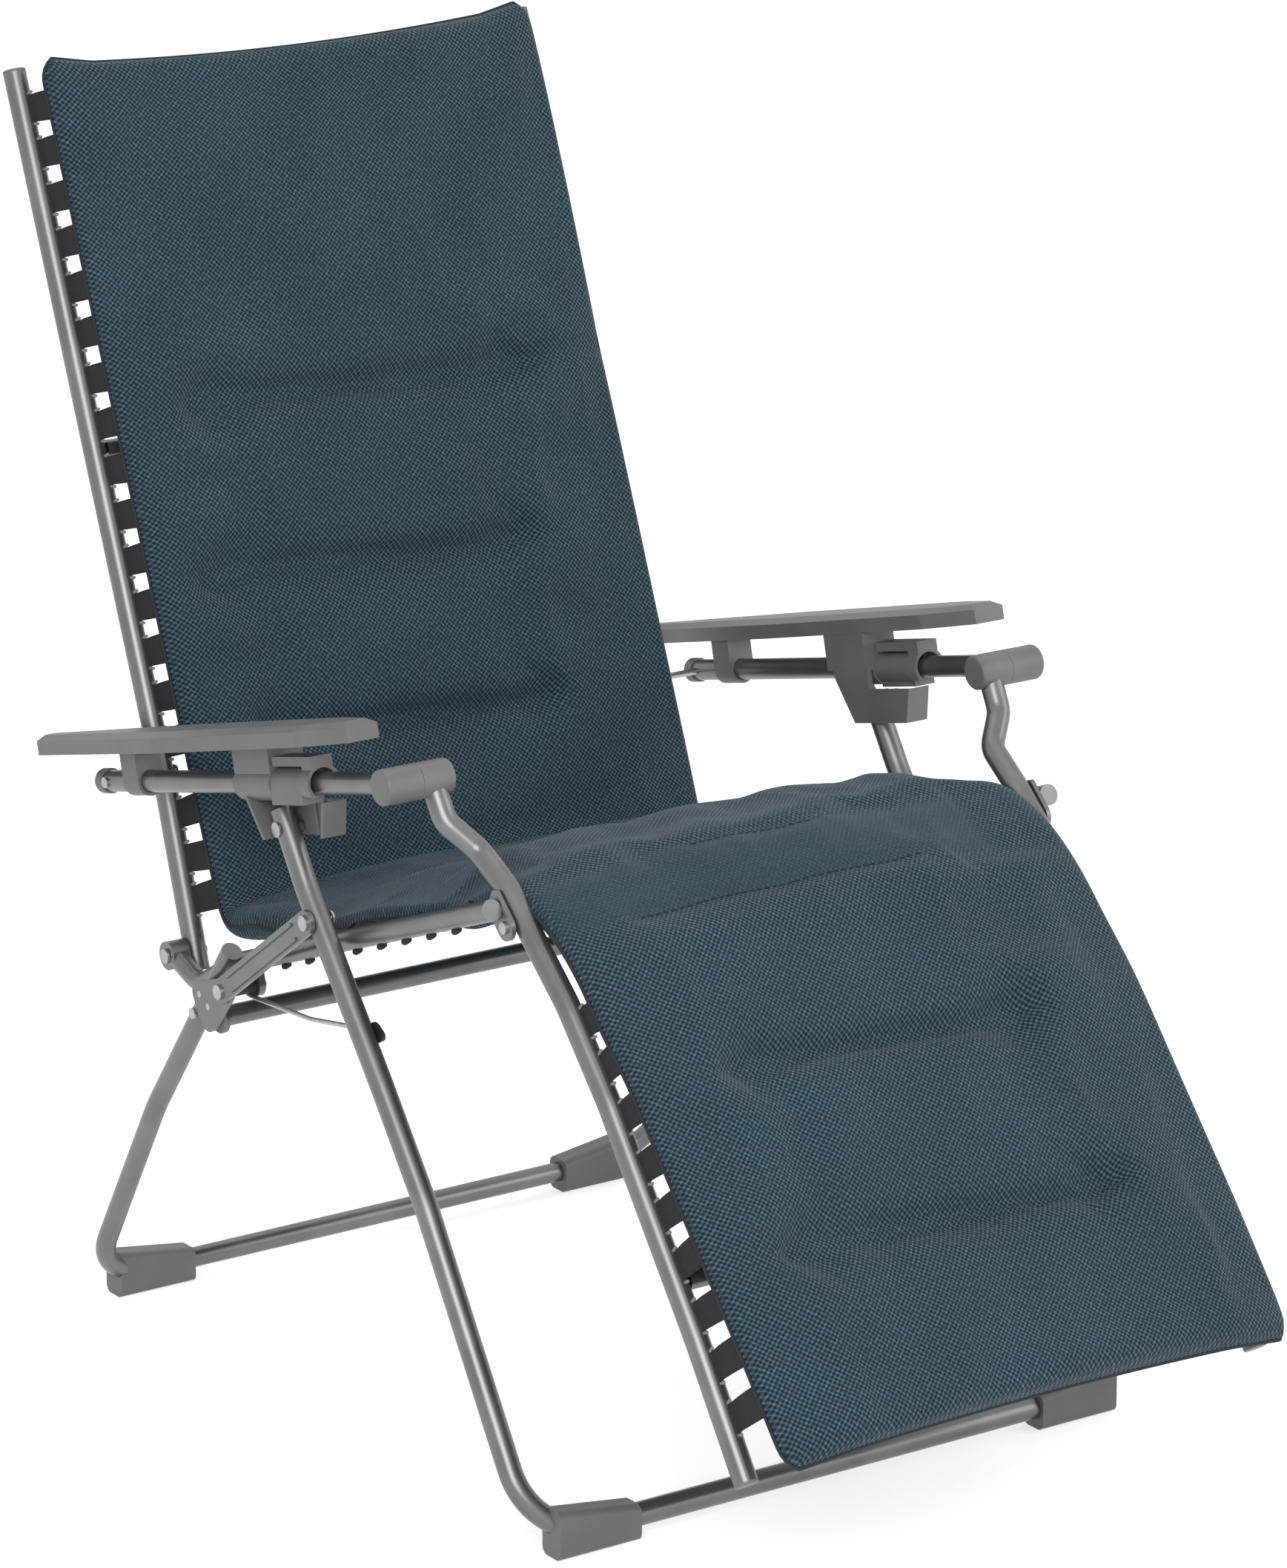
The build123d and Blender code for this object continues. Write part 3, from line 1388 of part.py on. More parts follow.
floor_half = front_leg_x - front_corner_radius - weld_gap
floor_bar("front_floor_bar", *front_corner, floor_half, front_leg_radius)
floor_half = rear_leg_x - rear_corner_radius - weld_gap
floor_bar("rear_floor_bar", *rear_corner, floor_half, rear_leg_radius)
for hand in hands:
    front_leg(hand)
    front_shoe(hand)
    rear_leg(hand)
    rear_shoe(hand)
    hip_plate(hand)
    link(hand)
    catch_wire(hand)
    seat_tube(hand)
    back_tube(hand)
    rail(hand)
    barrel_outer(hand)
    barrel_inner(hand)
    legrest_tube(hand)
    armrest(hand)
    armrest_bracket(hand)
    lock_lever(hand)
cross_flanges()
hip_rivets()
hip_cross_tube()
front_frame_pins()
link_spacers()
catch_knobs()
seat_frame_pins()
knee_plates()
knee_spacers()
back_plugs()
back_brace()
rail_caps()
rail_pins()
rear_guides()
clamp_sleeves()
legrest_brace()
legrest_plugs()
back_mat()
seat_mat()
legrest_mat()
crease_mat()
knee_mat()
back_clips()
seat_clips()
legrest_clips()
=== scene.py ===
import json
import math

import bpy
import numpy as np
from mathutils import Matrix, Vector

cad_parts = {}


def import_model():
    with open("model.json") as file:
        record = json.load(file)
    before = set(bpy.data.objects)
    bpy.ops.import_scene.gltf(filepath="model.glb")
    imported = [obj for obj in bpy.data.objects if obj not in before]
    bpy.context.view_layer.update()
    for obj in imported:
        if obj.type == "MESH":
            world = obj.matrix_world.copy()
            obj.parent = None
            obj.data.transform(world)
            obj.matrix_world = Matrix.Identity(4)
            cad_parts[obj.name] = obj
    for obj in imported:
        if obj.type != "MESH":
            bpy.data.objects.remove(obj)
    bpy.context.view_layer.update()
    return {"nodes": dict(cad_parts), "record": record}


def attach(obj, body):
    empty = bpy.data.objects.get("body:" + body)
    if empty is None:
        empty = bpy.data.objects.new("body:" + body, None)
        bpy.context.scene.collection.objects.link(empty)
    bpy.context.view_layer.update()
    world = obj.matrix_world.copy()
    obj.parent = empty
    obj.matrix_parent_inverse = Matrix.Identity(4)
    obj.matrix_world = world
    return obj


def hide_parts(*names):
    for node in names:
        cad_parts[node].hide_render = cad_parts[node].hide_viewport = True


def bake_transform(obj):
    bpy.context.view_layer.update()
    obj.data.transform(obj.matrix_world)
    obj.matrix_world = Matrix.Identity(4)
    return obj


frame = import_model()
nodes = frame["nodes"]
record = frame["record"]
scene = bpy.context.scene

# Lengths are in metres. A place on the mat is its lateral x and its distance s from the head,
# along the mat's centre line. Heights are square to that line, towards the sitter.

# Centre line of the mat in the side view, from the head to the foot: y, z
MAT_LINE = [
    (0.5371, 1.0860), (0.2800, 0.4350), (0.2570, 0.3800), (0.2180, 0.3915), (0.0406, 0.4730),
    (-0.0730, 0.5090), (-0.1720, 0.5245), (-0.2120, 0.5240), (-0.2520, 0.5085), (-0.2900, 0.4840),
    (-0.3610, 0.4190), (-0.5030, 0.2550), (-0.5744, 0.1686),
]
LINE_STEP = 0.005
CORNER_SPREAD = 0.014
LATERAL_CELLS = 98
RIM_CROWDING = 1.18
# Where the two halves of the mat meet
MID_SEAT = 1.000

MAT_HALF_WIDTH = 0.250
MAT_HALF_THICKNESS = 0.017
MAT_CROWN, CROWN_POWER = 0.014, 2.2
BACK_THINNING = 0.001
LEAST_HEIGHT = 0.006
RIM_BLUNTNESS = 2.8
FRONT_RIM_POWER, BACK_RIM_POWER = 12, 14
# Run and power of the rounded head and foot
FRONT_END_ROUND = (0.040, 2.6)
BACK_END_ROUND = (0.035, 2.4)
# How much the outline's corners take from the half width, and over what run
HEAD_CORNER = (0.012, 0.024)
FOOT_CORNER = (0.010, 0.022)
CORNER_POWER = 2.2

# Sewn channels: distance from the head, low and high end in x, depth, spread
CHANNELS = [
    (0.315, -0.172, 0.150, 0.0165, 0.008),
    (0.468, -0.194, 0.118, 0.0165, 0.008),
    (0.612, -0.175, 0.112, 0.0160, 0.008),
    (1.455, -0.160, 0.118, 0.0165, 0.009),
    (1.612, -0.175, 0.128, 0.0165, 0.009),
]
CHANNEL_FADE = 0.030
WANDER, WANDER_RATE = 0.0035, 14.0
# Each bell: height, spread. A valley runs along a channel, a shallower spill goes on past its
# ends, and each end has a dimple with a raised rim.
VALLEY = (0.0120, 0.032)
SPILL = (0.0045, 0.013)
SPILL_RUN_LOW, SPILL_RUN_HIGH = 0.075, 0.085
DIMPLE = (0.0070, 0.016)
DIMPLE_RIM = (0.0030, 0.018)
DIMPLE_RIM_REACH = 0.045
DIMPLE_STRETCH = 0.9
# A fine crease carries the first channel on to the mat's edge
EDGE_CREASE = (0.0060, 0.006)
# Furrows join the ends of neighbouring channels
FURROW = (0.0055, 0.016)
FURROW_OUTSET = 0.030
FURROW_FADE = 0.03
FURROW_PAIRS = ((0, 1), (1, 2), (3, 4))

# Stitched rows that hold the flat panel over the knee: distance from the head, low and high x
STITCH_ROWS = [(1.252, -0.092, 0.030), (1.308, -0.180, 0.100)]
STITCH_GROOVE = (0.0028, 0.005)
STITCH_FADE = 0.02
PANEL_DEPTH, PANEL_FADE = 0.0065, 0.035
STITCH_PITCH, STITCH_LENGTH, STITCH_RADIUS = 0.0075, 0.0052, 0.0008
STITCH_LIFT = 0.0004
STITCH_SIDES = 6
# Rings of a stitch: share of its length, share of its radius
STITCH_PROFILE = ((-0.5, 0.25), (-0.28, 1.0), (0.28, 1.0), (0.5, 0.25))
# Where the cover over the knee is plain: fades outside and inside the rows, centre and reach in x
PLAIN_OUTSIDE, PLAIN_INSIDE = 0.006, 0.004
PLAIN_CENTRE, PLAIN_REACH = -0.035, (0.19, 0.23)
PLAIN_SHARE = 0.75

# Uneven filling: height, number of waves, shortest and longest wave
FRONT_SEED, BACK_SEED = 11, 5
BROAD_LUMPS = (0.0020, 9, 0.09, 0.22)
FINE_LUMPS = (0.0005, 9, 0.03, 0.06)
BACK_LUMPS = (0.0008, 8, 0.08, 0.2)

# How far parts of the mat hang: depth, and the distances where it sets in and lets go
HOLLOW_DEPTH, HOLLOW_SPAN = 0.015, (0.780, 0.900, 1.020, 1.170)
SEAT_SIDE_DEPTH, SEAT_SIDE_SPAN = 0.028, (0.800, 0.900, 1.150, 1.240)
LEG_SIDE_DEPTH, LEG_SIDE_START = 0.008, (1.280, 1.400)
SIDE_START = 0.176
# How far the head and the foot bow along the mat, and the run over which they do
HEAD_BOW, HEAD_CORNER_BOW, HEAD_CORNER_START, HEAD_BOW_RUN = 0.011, 0.006, 0.8, 0.10
FOOT_CORNER_BOW, FOOT_BOW, FOOT_BOW_RUN = 0.005, 0.002, 0.09

# The cloth simulation that puffs the mat's front
PUFF_PRESSURE = 1.0
PUFF_FRAMES = 20
PUFF_LIMIT = 0.010
SEAM_REACH = 0.0027

PIPING_RADIUS, PIPING_OUTSET, PIPING_SIDES = 0.0015, 0.0004, 8

# Centre lines of the tubes: x, radius, and y, z in the side view, from the back's top, the
# seat's front and the leg rest's top
BACK_TUBE_X, SEAT_TUBE_X, LEG_TUBE_X = 0.260, 0.280, 0.255
TUBE_RADIUS, SEAT_TUBE_RADIUS = 0.010, 0.009
BACK_TUBE = [(0.5650, 1.0750), (0.3316, 0.4843), (0.2896, 0.3531)]
SEAT_TUBE = [(-0.2065, 0.5237), (0.1890, 0.3722)]
LEG_TUBE = [(-0.2773, 0.4588), (-0.3358, 0.3926), (-0.4557, 0.2334), (-0.5223, 0.1362)]
# Distances of the tabs along the tubes, and the part of the mat that each row holds
BACK_PLACES = [0.034 + 0.040 * i for i in range(15)] + [0.656, 0.694, 0.731]
SEAT_PLACES = [0.060 + 0.040 * i for i in range(8)]
LEG_PLACES = [0.021 + 0.042 * i for i in range(9)]
BACK_HOLD, SEAT_HOLD, LEG_HOLD = (0.0, 0.76), (0.79, 1.22), (1.30, 1.74)
TUBE_CLEARANCE = 0.0004
TAB_HALF_AT_TUBE, TAB_HALF_AT_MAT, TAB_HALF_THICKNESS = 0.0120, 0.0132, 0.0012
TAB_CELLS = 9
TAB_OVERLAP = 0.0015
TAB_LEAN, TAB_CUP, TAB_RIPPLE = 0.0012, (0.0006, 0.0018), 0.0004
TAB_EDGE_THINNING = 0.75
BEAD_RADIUS, BEAD_LENGTH, BEAD_SPREAD, BEAD_SINK = 0.0015, 0.0050, 0.0012, 0.0006
BEAD_SIDES = 8
# Rings of a bead: share of its length, share of its radius
BEAD_PROFILE = ((-0.10, 0.35), (0.05, 0.85), (0.25, 1.0), (0.75, 1.0), (0.95, 0.85), (1.10, 0.35))
TAIL_RADIUS, TAIL_START, TAIL_LENGTH, TAIL_DROP = 0.0030, 0.006, 0.0105, 0.0016

# The photograph's camera
PHOTO_WIDTH, FOCAL_PIXELS, SENSOR_WIDTH = 1736.0, 9114.0, 36.0
CAMERA_AZIMUTH, CAMERA_ELEVATION = math.radians(-34.63), math.radians(16.72)
CAMERA_PLACE = Vector((-3.0852, -4.4804, 2.1638))
LIGHT_TARGET = Vector((0, 0, 0.5))
FLOOR_HALF = 40.0
FLOOR_GLOW = 0.62
WORLD_LIGHT, WORLD_SHOWN = 0.55, 0.45


def link(obj):
    """Puts an object in the scene."""
    scene.collection.objects.link(obj)
    return obj


def mesh_object(name, verts, faces, material, smooth=True):
    """New mesh object from plain lists."""
    mesh = bpy.data.meshes.new(name)
    mesh.from_pydata([tuple(v) for v in verts], [], [tuple(f) for f in faces])
    mesh.validate()
    if smooth:
        mesh.polygons.foreach_set("use_smooth", [True] * len(mesh.polygons))
    mesh.update()
    mesh.materials.append(material)
    return link(bpy.data.objects.new(name, mesh))


def skin(faces, base, rings, sides, capped=True):
    """Faces between rings of points that start at base, and over the two ends."""
    for i in range(rings - 1):
        here, there = base + i * sides, base + (i + 1) * sides
        for k in range(sides):
            after = (k + 1) % sides
            faces.append((here + k, here + after, there + after, there + k))
    if capped:
        faces.append(tuple(base + k for k in range(sides))[::-1])
        faces.append(tuple(base + (rings - 1) * sides + k for k in range(sides)))


def tree(name):
    """Empty node material: (material, nodes, links, output)."""
    material = bpy.data.materials.new(name)
    material.use_nodes = True
    material.node_tree.nodes.clear()
    out = material.node_tree.nodes.new("ShaderNodeOutputMaterial")
    return material, material.node_tree.nodes, material.node_tree.links, out


def add_node(ns, kind, **values):
    """New node with its sockets or properties set by name."""
    node = ns.new(kind)
    for key, value in values.items():
        if key in node.inputs:
            node.inputs[key].default_value = value
        else:
            setattr(node, key, value)
    return node


def texture(ns, ls, coords, kind, **values):
    """New texture node on the given coordinates; its first output."""
    node = add_node(ns, kind, **values)
    ls.new(coords, node.inputs["Vector"])
    return node.outputs[0]


def maths(ns, ls, operation, *values, clamp=False):
    """Output of a Math node whose inputs are numbers or other outputs."""
    node = add_node(ns, "ShaderNodeMath", operation=operation, use_clamp=clamp)
    for socket, value in zip(node.inputs, values):
        if hasattr(value, "is_linked"):
            ls.new(value, socket)
        else:
            socket.default_value = value
    return node.outputs[0]


def ramp(ns, ls, factor, stops):
    """Colour ramp through (position, colour) stops."""
    node = ns.new("ShaderNodeValToRGB")
    elements = node.color_ramp.elements
    elements[0].position, elements[1].position = stops[0][0], stops[-1][0]
    for position, colour in stops[1:-1]:
        elements.new(position)
    for element, (position, colour) in zip(elements, stops):
        element.color = (*colour, 1)
    ls.new(factor, node.inputs[0])
    return node.outputs[0]


def multiply(ns, ls, first, second):
    """Product of two colours."""
    node = add_node(ns, "ShaderNodeMix", data_type="RGBA", blend_type="MULTIPLY", Factor=1.0)
    ls.new(first, node.inputs["A"])
    ls.new(second, node.inputs["B"])
    return node.outputs["Result"]


def add_bump(ns, ls, shader, height, strength, distance):
    """Fine relief in a shader, from a height."""
    bump = add_node(ns, "ShaderNodeBump", Strength=strength, Distance=distance)
    ls.new(height, bump.inputs["Height"])
    ls.new(bump.outputs[0], shader.inputs["Normal"])


def grey(value):
    """Neutral colour."""
    return (value, value, value)


def clouded_material(name, low, high, cloud, roughness, metallic=0.0, grain=None, relief=0.0):
    """Two close shades that drift into each other, with uneven lustre and a fine grain.

    cloud is the drift's scale and detail, roughness its least value and spread, and grain the
    kind and values of the texture that stands in relief."""
    material, ns, ls, out = tree(name)
    shader = add_node(ns, "ShaderNodeBsdfPrincipled", Metallic=metallic)
    coords = ns.new("ShaderNodeTexCoord").outputs["Object"]
    drift = texture(ns, ls, coords, "ShaderNodeTexNoise", Scale=cloud[0], Detail=cloud[1])
    ls.new(ramp(ns, ls, drift, [(0.3, low), (0.7, high)]), shader.inputs["Base Color"])
    least, spread = roughness
    ls.new(maths(ns, ls, "MULTIPLY_ADD", drift, spread, least), shader.inputs["Roughness"])
    if grain:
        kind, values = grain
        add_bump(ns, ls, shader, texture(ns, ls, coords, kind, **values), relief, 0.0002)
    ls.new(shader.outputs[0], out.inputs[0])
    return material


def plastic_material(name, low, high, roughness, relief):
    """Moulded plastic with a fine spark-eroded grain."""
    return clouded_material(name, low, high, (18.0, 5.0), (roughness, 0.12),
                            grain=("ShaderNodeTexVoronoi", {"Scale": 1400.0}), relief=relief)


def knit_material():
    """Spacer knit: staggered eyelets between raised yarns, with painted shade in the eyelets and
    painted light on the raised yarns, plain where marked.
    """
    material, ns, ls, out = tree("spacer_knit")
    shader = add_node(ns, "ShaderNodeBsdfPrincipled", Roughness=0.85, **{
        "Specular IOR Level": 0.25, "Sheen Weight": 0.10, "Sheen Roughness": 0.5})
    uv = add_node(ns, "ShaderNodeUVMap", uv_map="cloth").outputs[0]
    place = add_node(ns, "ShaderNodeMapping", Rotation=(0, 0, math.radians(45)),
                     Scale=(300.0, 300.0, 1.0))
    ls.new(uv, place.inputs["Vector"])
    eyelets = texture(ns, ls, place.outputs[0], "ShaderNodeTexVoronoi",
                      voronoi_dimensions="2D", Scale=1.0, Randomness=0.12)
    # Painted shade darkens the eyelets' holes nearly to black, and painted light makes the raised
    # yarns between them lighter than the knit's own teal.
    painted_eyelet_shading = ramp(ns, ls, eyelets, [
        (0.16, (0.0020, 0.0065, 0.0105)), (0.34, (0.0130, 0.0350, 0.0510)),
        (0.50, (0.0370, 0.0780, 0.1080)), (0.66, (0.1150, 0.1900, 0.2400)),
    ])
    plain = add_node(ns, "ShaderNodeAttribute", attribute_name="plain")
    cover = add_node(ns, "ShaderNodeMix", data_type="RGBA")
    ls.new(plain.outputs["Fac"], cover.inputs["Factor"])
    ls.new(painted_eyelet_shading, cover.inputs["A"])
    cover.inputs["B"].default_value = (0.0260, 0.0560, 0.0770, 1)
    cloud = texture(ns, ls, uv, "ShaderNodeTexNoise", Scale=9.0, Detail=3.0)
    shade = ramp(ns, ls, cloud, [(0.25, grey(0.84)), (0.75, grey(1.08))])
    yarn = texture(ns, ls, uv, "ShaderNodeTexNoise", Scale=420.0)
    fleck = ramp(ns, ls, yarn, [(0.3, grey(0.72)), (0.7, grey(1.25))])
    shaded = multiply(ns, ls, cover.outputs["Result"], shade)
    ls.new(multiply(ns, ls, shaded, fleck), shader.inputs["Base Color"])
    add_bump(ns, ls, shader, eyelets, 0.55, 0.0012)
    ls.new(shader.outputs[0], out.inputs[0])
    return material


def braid_material(name, low, high, scale):
    """Tape, piping and cord: a fine rib with uneven colour."""
    material, ns, ls, out = tree(name)
    shader = add_node(ns, "ShaderNodeBsdfPrincipled", Roughness=0.8)
    coords = ns.new("ShaderNodeTexCoord").outputs["Object"]
    rib = add_node(ns, "ShaderNodeTexWave", Scale=scale, Distortion=1.5,
                   bands_direction="DIAGONAL")
    ls.new(coords, rib.inputs["Vector"])
    colour = ramp(ns, ls, rib.outputs["Fac"], [(0.1, low), (0.9, high)])
    ls.new(colour, shader.inputs["Base Color"])
    add_bump(ns, ls, shader, rib.outputs["Fac"], 0.4, 0.0004)
    ls.new(shader.outputs[0], out.inputs[0])
    return material


TUBE = clouded_material("satin_grey_tube", (0.160, 0.160, 0.159), (0.205, 0.205, 0.202),
                        (24.0, 4.0), (0.26, 0.14), metallic=0.75,
                        grain=("ShaderNodeTexNoise", {"Scale": 900.0, "Detail": 2.0}), relief=0.06)
STEEL = clouded_material("bright_pin_steel", grey(0.36), grey(0.46), (160.0, 3.0), (0.25, 0.2),
                         metallic=0.9)
GREY = plastic_material("moulded_grey", (0.135, 0.133, 0.128), (0.172, 0.169, 0.163), 0.40, 0.25)
BLACK = plastic_material("moulded_black", (0.012, 0.012, 0.013), (0.022, 0.022, 0.023), 0.5, 0.2)
KNIT = knit_material()
PIPING = braid_material("dark_piping", (0.004, 0.010, 0.016), (0.012, 0.026, 0.036), 700.0)
TAPE = braid_material("black_tape", grey(0.004), grey(0.012), 500.0)
CORD = braid_material("grey_cord", grey(0.16), grey(0.32), 600.0)
SLOT_MATERIALS = {
    "metal": TUBE, "steel": STEEL, "grey_plastic": GREY, "black_plastic": BLACK, "cushion": KNIT,
}

for part in record["subparts"]:
    mesh = nodes[part["node"]].data
    material = SLOT_MATERIALS[part["material_slot"]]
    if not mesh.materials:
        mesh.materials.append(material)
    for index in range(len(mesh.materials)):
        mesh.materials[index] = material


def smooth_line(points, step, spread):
    """Even samples of a run of points, with its corners rounded by averaging."""
    points = np.array(points, float)
    runs = np.linalg.norm(np.diff(points, axis=0), axis=1)
    marks = np.concatenate([[0], np.cumsum(runs)])
    s = np.linspace(0, marks[-1], int(round(marks[-1] / step)) + 1)
    spacing = s[1] - s[0]
    pad = int(spread * 4 / spacing)
    first_way = (points[0] - points[1]) / runs[0]
    last_way = (points[-1] - points[-2]) / runs[-1]
    extended = np.concatenate([
        points[0] + first_way * spacing * np.arange(pad, 0, -1)[:, None],
        np.stack([np.interp(s, marks, points[:, i]) for i in range(2)], 1),
        points[-1] + last_way * spacing * np.arange(1, pad + 1)[:, None],
    ])
    kernel = np.exp(-0.5 * (np.arange(-pad, pad + 1) * spacing / spread) ** 2)
    kernel /= kernel.sum()
    smooth = np.stack([np.convolve(extended[:, i], kernel, mode="valid") for i in range(2)], 1)
    return s, smooth


def frames_along(line):
    """Unit directions along and square to a side-view line (the front side)."""
    along = np.gradient(line, axis=0)
    along /= np.linalg.norm(along, axis=1)[:, None]
    front = np.stack([along[:, 1], -along[:, 0]], 1)
    return along, front


def fade(x, low, high):
    """Smooth step from 0 at low to 1 at high."""
    t = np.clip((x - low) / (high - low), 0, 1)
    return t * t * (3 - 2 * t)


def window(x, rise_from, rise_to, fall_from, fall_to):
    """Smooth rise from 0 to 1 and, further on, fall back to 0."""
    return fade(x, rise_from, rise_to) * (1 - fade(x, fall_from, fall_to))


def bell(gap, form):
    """Bell curve over a gap, of the given height and spread."""
    height, spread = form
    return height * np.exp(-0.5 * (gap / spread) ** 2)


def lumps(x, s, rng, form):
    """Sum of gentle waves with random headings."""
    height, count, shortest, longest = form
    total = np.zeros_like(x)
    for _ in range(count):
        size = rng.uniform(shortest, longest)
        heading = rng.uniform(0, math.pi)
        phase = rng.uniform(0, 2 * math.pi)
        way = x * math.cos(heading) + s * math.sin(heading)
        total += np.sin(way * 2 * math.pi / size + phase)
    return height * total / math.sqrt(count)


def edge_share(x):
    """How far x lies from the middle towards the mat's sides, from 0 to 1."""
    return np.clip(np.abs(x) / MAT_HALF_WIDTH, 0, 1)


def rim_round(x, s, length, rim_power, end_round):
    """Share of the mat's thickness that is left near its sides and its two ends."""
    run, power = end_round
    ends = np.minimum(s, length - s)
    sides = (1 - edge_share(x) ** rim_power) ** (1 / RIM_BLUNTNESS)
    return sides * np.clip(1 - (1 - np.clip(ends / run, 0, 1)) ** power, 0, 1) ** 0.5


def channel_place(x, channel):
    """Distance from the head at which a channel, which wanders a little, passes x."""
    place, low, high = channel[:3]
    return place + WANDER * np.sin((x - (low + high) / 2) * WANDER_RATE)


def channel_relief(x, s, channel):
    """What a sewn channel adds to the height of the mat's front."""
    low, high, depth, spread = channel[1:]
    gap = s - channel_place(x, channel)
    inside = window(x, low - CHANNEL_FADE, low + CHANNEL_FADE,
                    high - CHANNEL_FADE, high + CHANNEL_FADE)
    spill = window(x, low - SPILL_RUN_LOW, low, high, high + SPILL_RUN_HIGH)
    relief = -(depth * np.exp(-np.abs(gap) / spread) + bell(gap, VALLEY)) * inside
    relief -= bell(gap, SPILL) * spill
    for end in (low, high):
        reach = np.hypot((x - end) * DIMPLE_STRETCH, gap)
        relief += bell(reach - DIMPLE_RIM_REACH, DIMPLE_RIM) - bell(reach, DIMPLE)
    return relief


def furrow_relief(x, s, upper, lower):
    """What the two furrows between the ends of neighbouring channels add to the height."""
    run = window(s, upper[0], upper[0] + FURROW_FADE, lower[0] - FURROW_FADE, lower[0])
    at_low = (upper[1] + lower[1]) / 2 + FURROW_OUTSET
    at_high = (upper[2] + lower[2]) / 2 - FURROW_OUTSET
    return -(bell(x - at_low, FURROW) + bell(x - at_high, FURROW)) * run


def front_height(x, s, length):
    """Height of the mat's front above its centre line."""
    rng = np.random.default_rng(FRONT_SEED)
    edge = edge_share(x)
    height = MAT_HALF_THICKNESS + MAT_CROWN * (1 - edge ** CROWN_POWER)
    for channel in CHANNELS:
        height += channel_relief(x, s, channel)
    for upper, lower in FURROW_PAIRS:
        height += furrow_relief(x, s, CHANNELS[upper], CHANNELS[lower])
    first_high = CHANNELS[0][2]
    crease = s - channel_place(x, CHANNELS[0])
    height -= bell(crease, EDGE_CREASE) * fade(x, first_high - CHANNEL_FADE, first_high)
    upper_row, lower_row = STITCH_ROWS[0][0], STITCH_ROWS[1][0]
    panel = window(s, upper_row - PANEL_FADE, upper_row, lower_row, lower_row + PANEL_FADE)
    height -= PANEL_DEPTH * panel * (1 - edge ** 4)
    for place, low, high in STITCH_ROWS:
        inside = window(x, low - STITCH_FADE, low, high, high + STITCH_FADE)
        height -= bell(s - place, STITCH_GROOVE) * inside
    for form in (BROAD_LUMPS, FINE_LUMPS):
        height += lumps(x, s, rng, form) * (1 - edge ** 6)
    round_share = rim_round(x, s, length, FRONT_RIM_POWER, FRONT_END_ROUND)
    return np.maximum(height, LEAST_HEIGHT) * round_share


def back_depth(x, s, length):
    """Depth of the mat's back below its centre line."""
    rng = np.random.default_rng(BACK_SEED)
    depth = MAT_HALF_THICKNESS - BACK_THINNING + lumps(x, s, rng, BACK_LUMPS)
    return depth * rim_round(x, s, length, BACK_RIM_POWER, BACK_END_ROUND)


def outline(s, length):
    """Half width of the mat by distance from the head, with rounded corners."""
    cuts = 0
    for (depth, run), distance in ((HEAD_CORNER, s), (FOOT_CORNER, length - s)):
        cuts = cuts + depth * (1 - np.clip(distance / run, 0, 1)) ** CORNER_POWER
    return MAT_HALF_WIDTH - cuts


def droop(x, s):
    """How far the seat's middle and the mat's sides hang below the centre line."""
    side = fade(np.abs(x), SIDE_START, MAT_HALF_WIDTH)
    hollow = HOLLOW_DEPTH * window(s, *HOLLOW_SPAN)
    seat = SEAT_SIDE_DEPTH * window(s, *SEAT_SIDE_SPAN)
    leg = LEG_SIDE_DEPTH * fade(s, *LEG_SIDE_START)
    return hollow * (1 - side) + (seat + leg) * side


def end_bow(x, s, length):
    """How far the head and the foot are shifted along the mat, by place."""
    across = 1 - (x / MAT_HALF_WIDTH) ** 2
    corner = np.clip(np.abs(x) / MAT_HALF_WIDTH - HEAD_CORNER_START, 0, 1)
    corner /= 1 - HEAD_CORNER_START
    head = 1 - fade(s, 0, HEAD_BOW_RUN)
    foot = fade(s, length - FOOT_BOW_RUN, length)
    return (head * (HEAD_BOW * across - HEAD_CORNER_BOW * corner)
            + foot * (FOOT_CORNER_BOW * (1 - across) - FOOT_BOW * across))


def cells(grid):
    """The four corner values of each cell of a grid, in order round the cell."""
    corners = (grid[:-1, :-1], grid[:-1, 1:], grid[1:, 1:], grid[1:, :-1])
    return np.stack(corners, 2).reshape(-1, 4, *grid.shape[2:])


def build_mat():
    """The whole mat as one closed grid, with cloth coordinates in metres."""
    marks, line = smooth_line(MAT_LINE, LINE_STEP, CORNER_SPREAD)
    along, front = frames_along(line)
    length = marks[-1]
    t = np.linspace(-1, 1, LATERAL_CELLS + 1)
    t = np.sign(t) * (1 - (1 - np.abs(t)) ** RIM_CROWDING)
    x = t[None, :] * outline(marks, length)[:, None]
    s = np.repeat(marks[:, None], len(t), 1)
    bow, hang = end_bow(x, s, length), droop(x, s)
    layers = []
    for height in (front_height(x, s, length), -back_depth(x, s, length)):
        lift = height - hang
        y = line[:, :1] + front[:, :1] * lift + along[:, :1] * bow
        z = line[:, 1:] + front[:, 1:] * lift + along[:, 1:] * bow
        layers.append(np.stack([x, y, z], -1).reshape(-1, 3))
    rim = np.ones(x.shape, bool)
    rim[1:-1, 1:-1] = False
    seam = rim.reshape(-1)
    layers[0][seam] = ((layers[0] + layers[1]) / 2)[seam]
    front_index = np.arange(x.size).reshape(x.shape)
    back_index = np.where(rim, front_index, front_index + x.size)
    front_uv, back_uv = np.stack([x, s], -1), np.stack([x + 1.0, s], -1)
    cell_s = np.repeat((marks[:-1] + marks[1:]) / 2, x.shape[1] - 1)
    return {
        "points": np.concatenate(layers), "shape": x.shape, "seam": seam,
        "faces": np.concatenate([cells(front_index), cells(back_index)[:, ::-1]]),
        "uv": np.concatenate([cells(front_uv), cells(back_uv)[:, ::-1]]),
        "cell_s": np.tile(cell_s, 2), "x": np.tile(x.reshape(-1), 2),
        "s": np.tile(s.reshape(-1), 2), "marks": marks, "length": length,
        "line": line, "along": along, "front": front,
    }


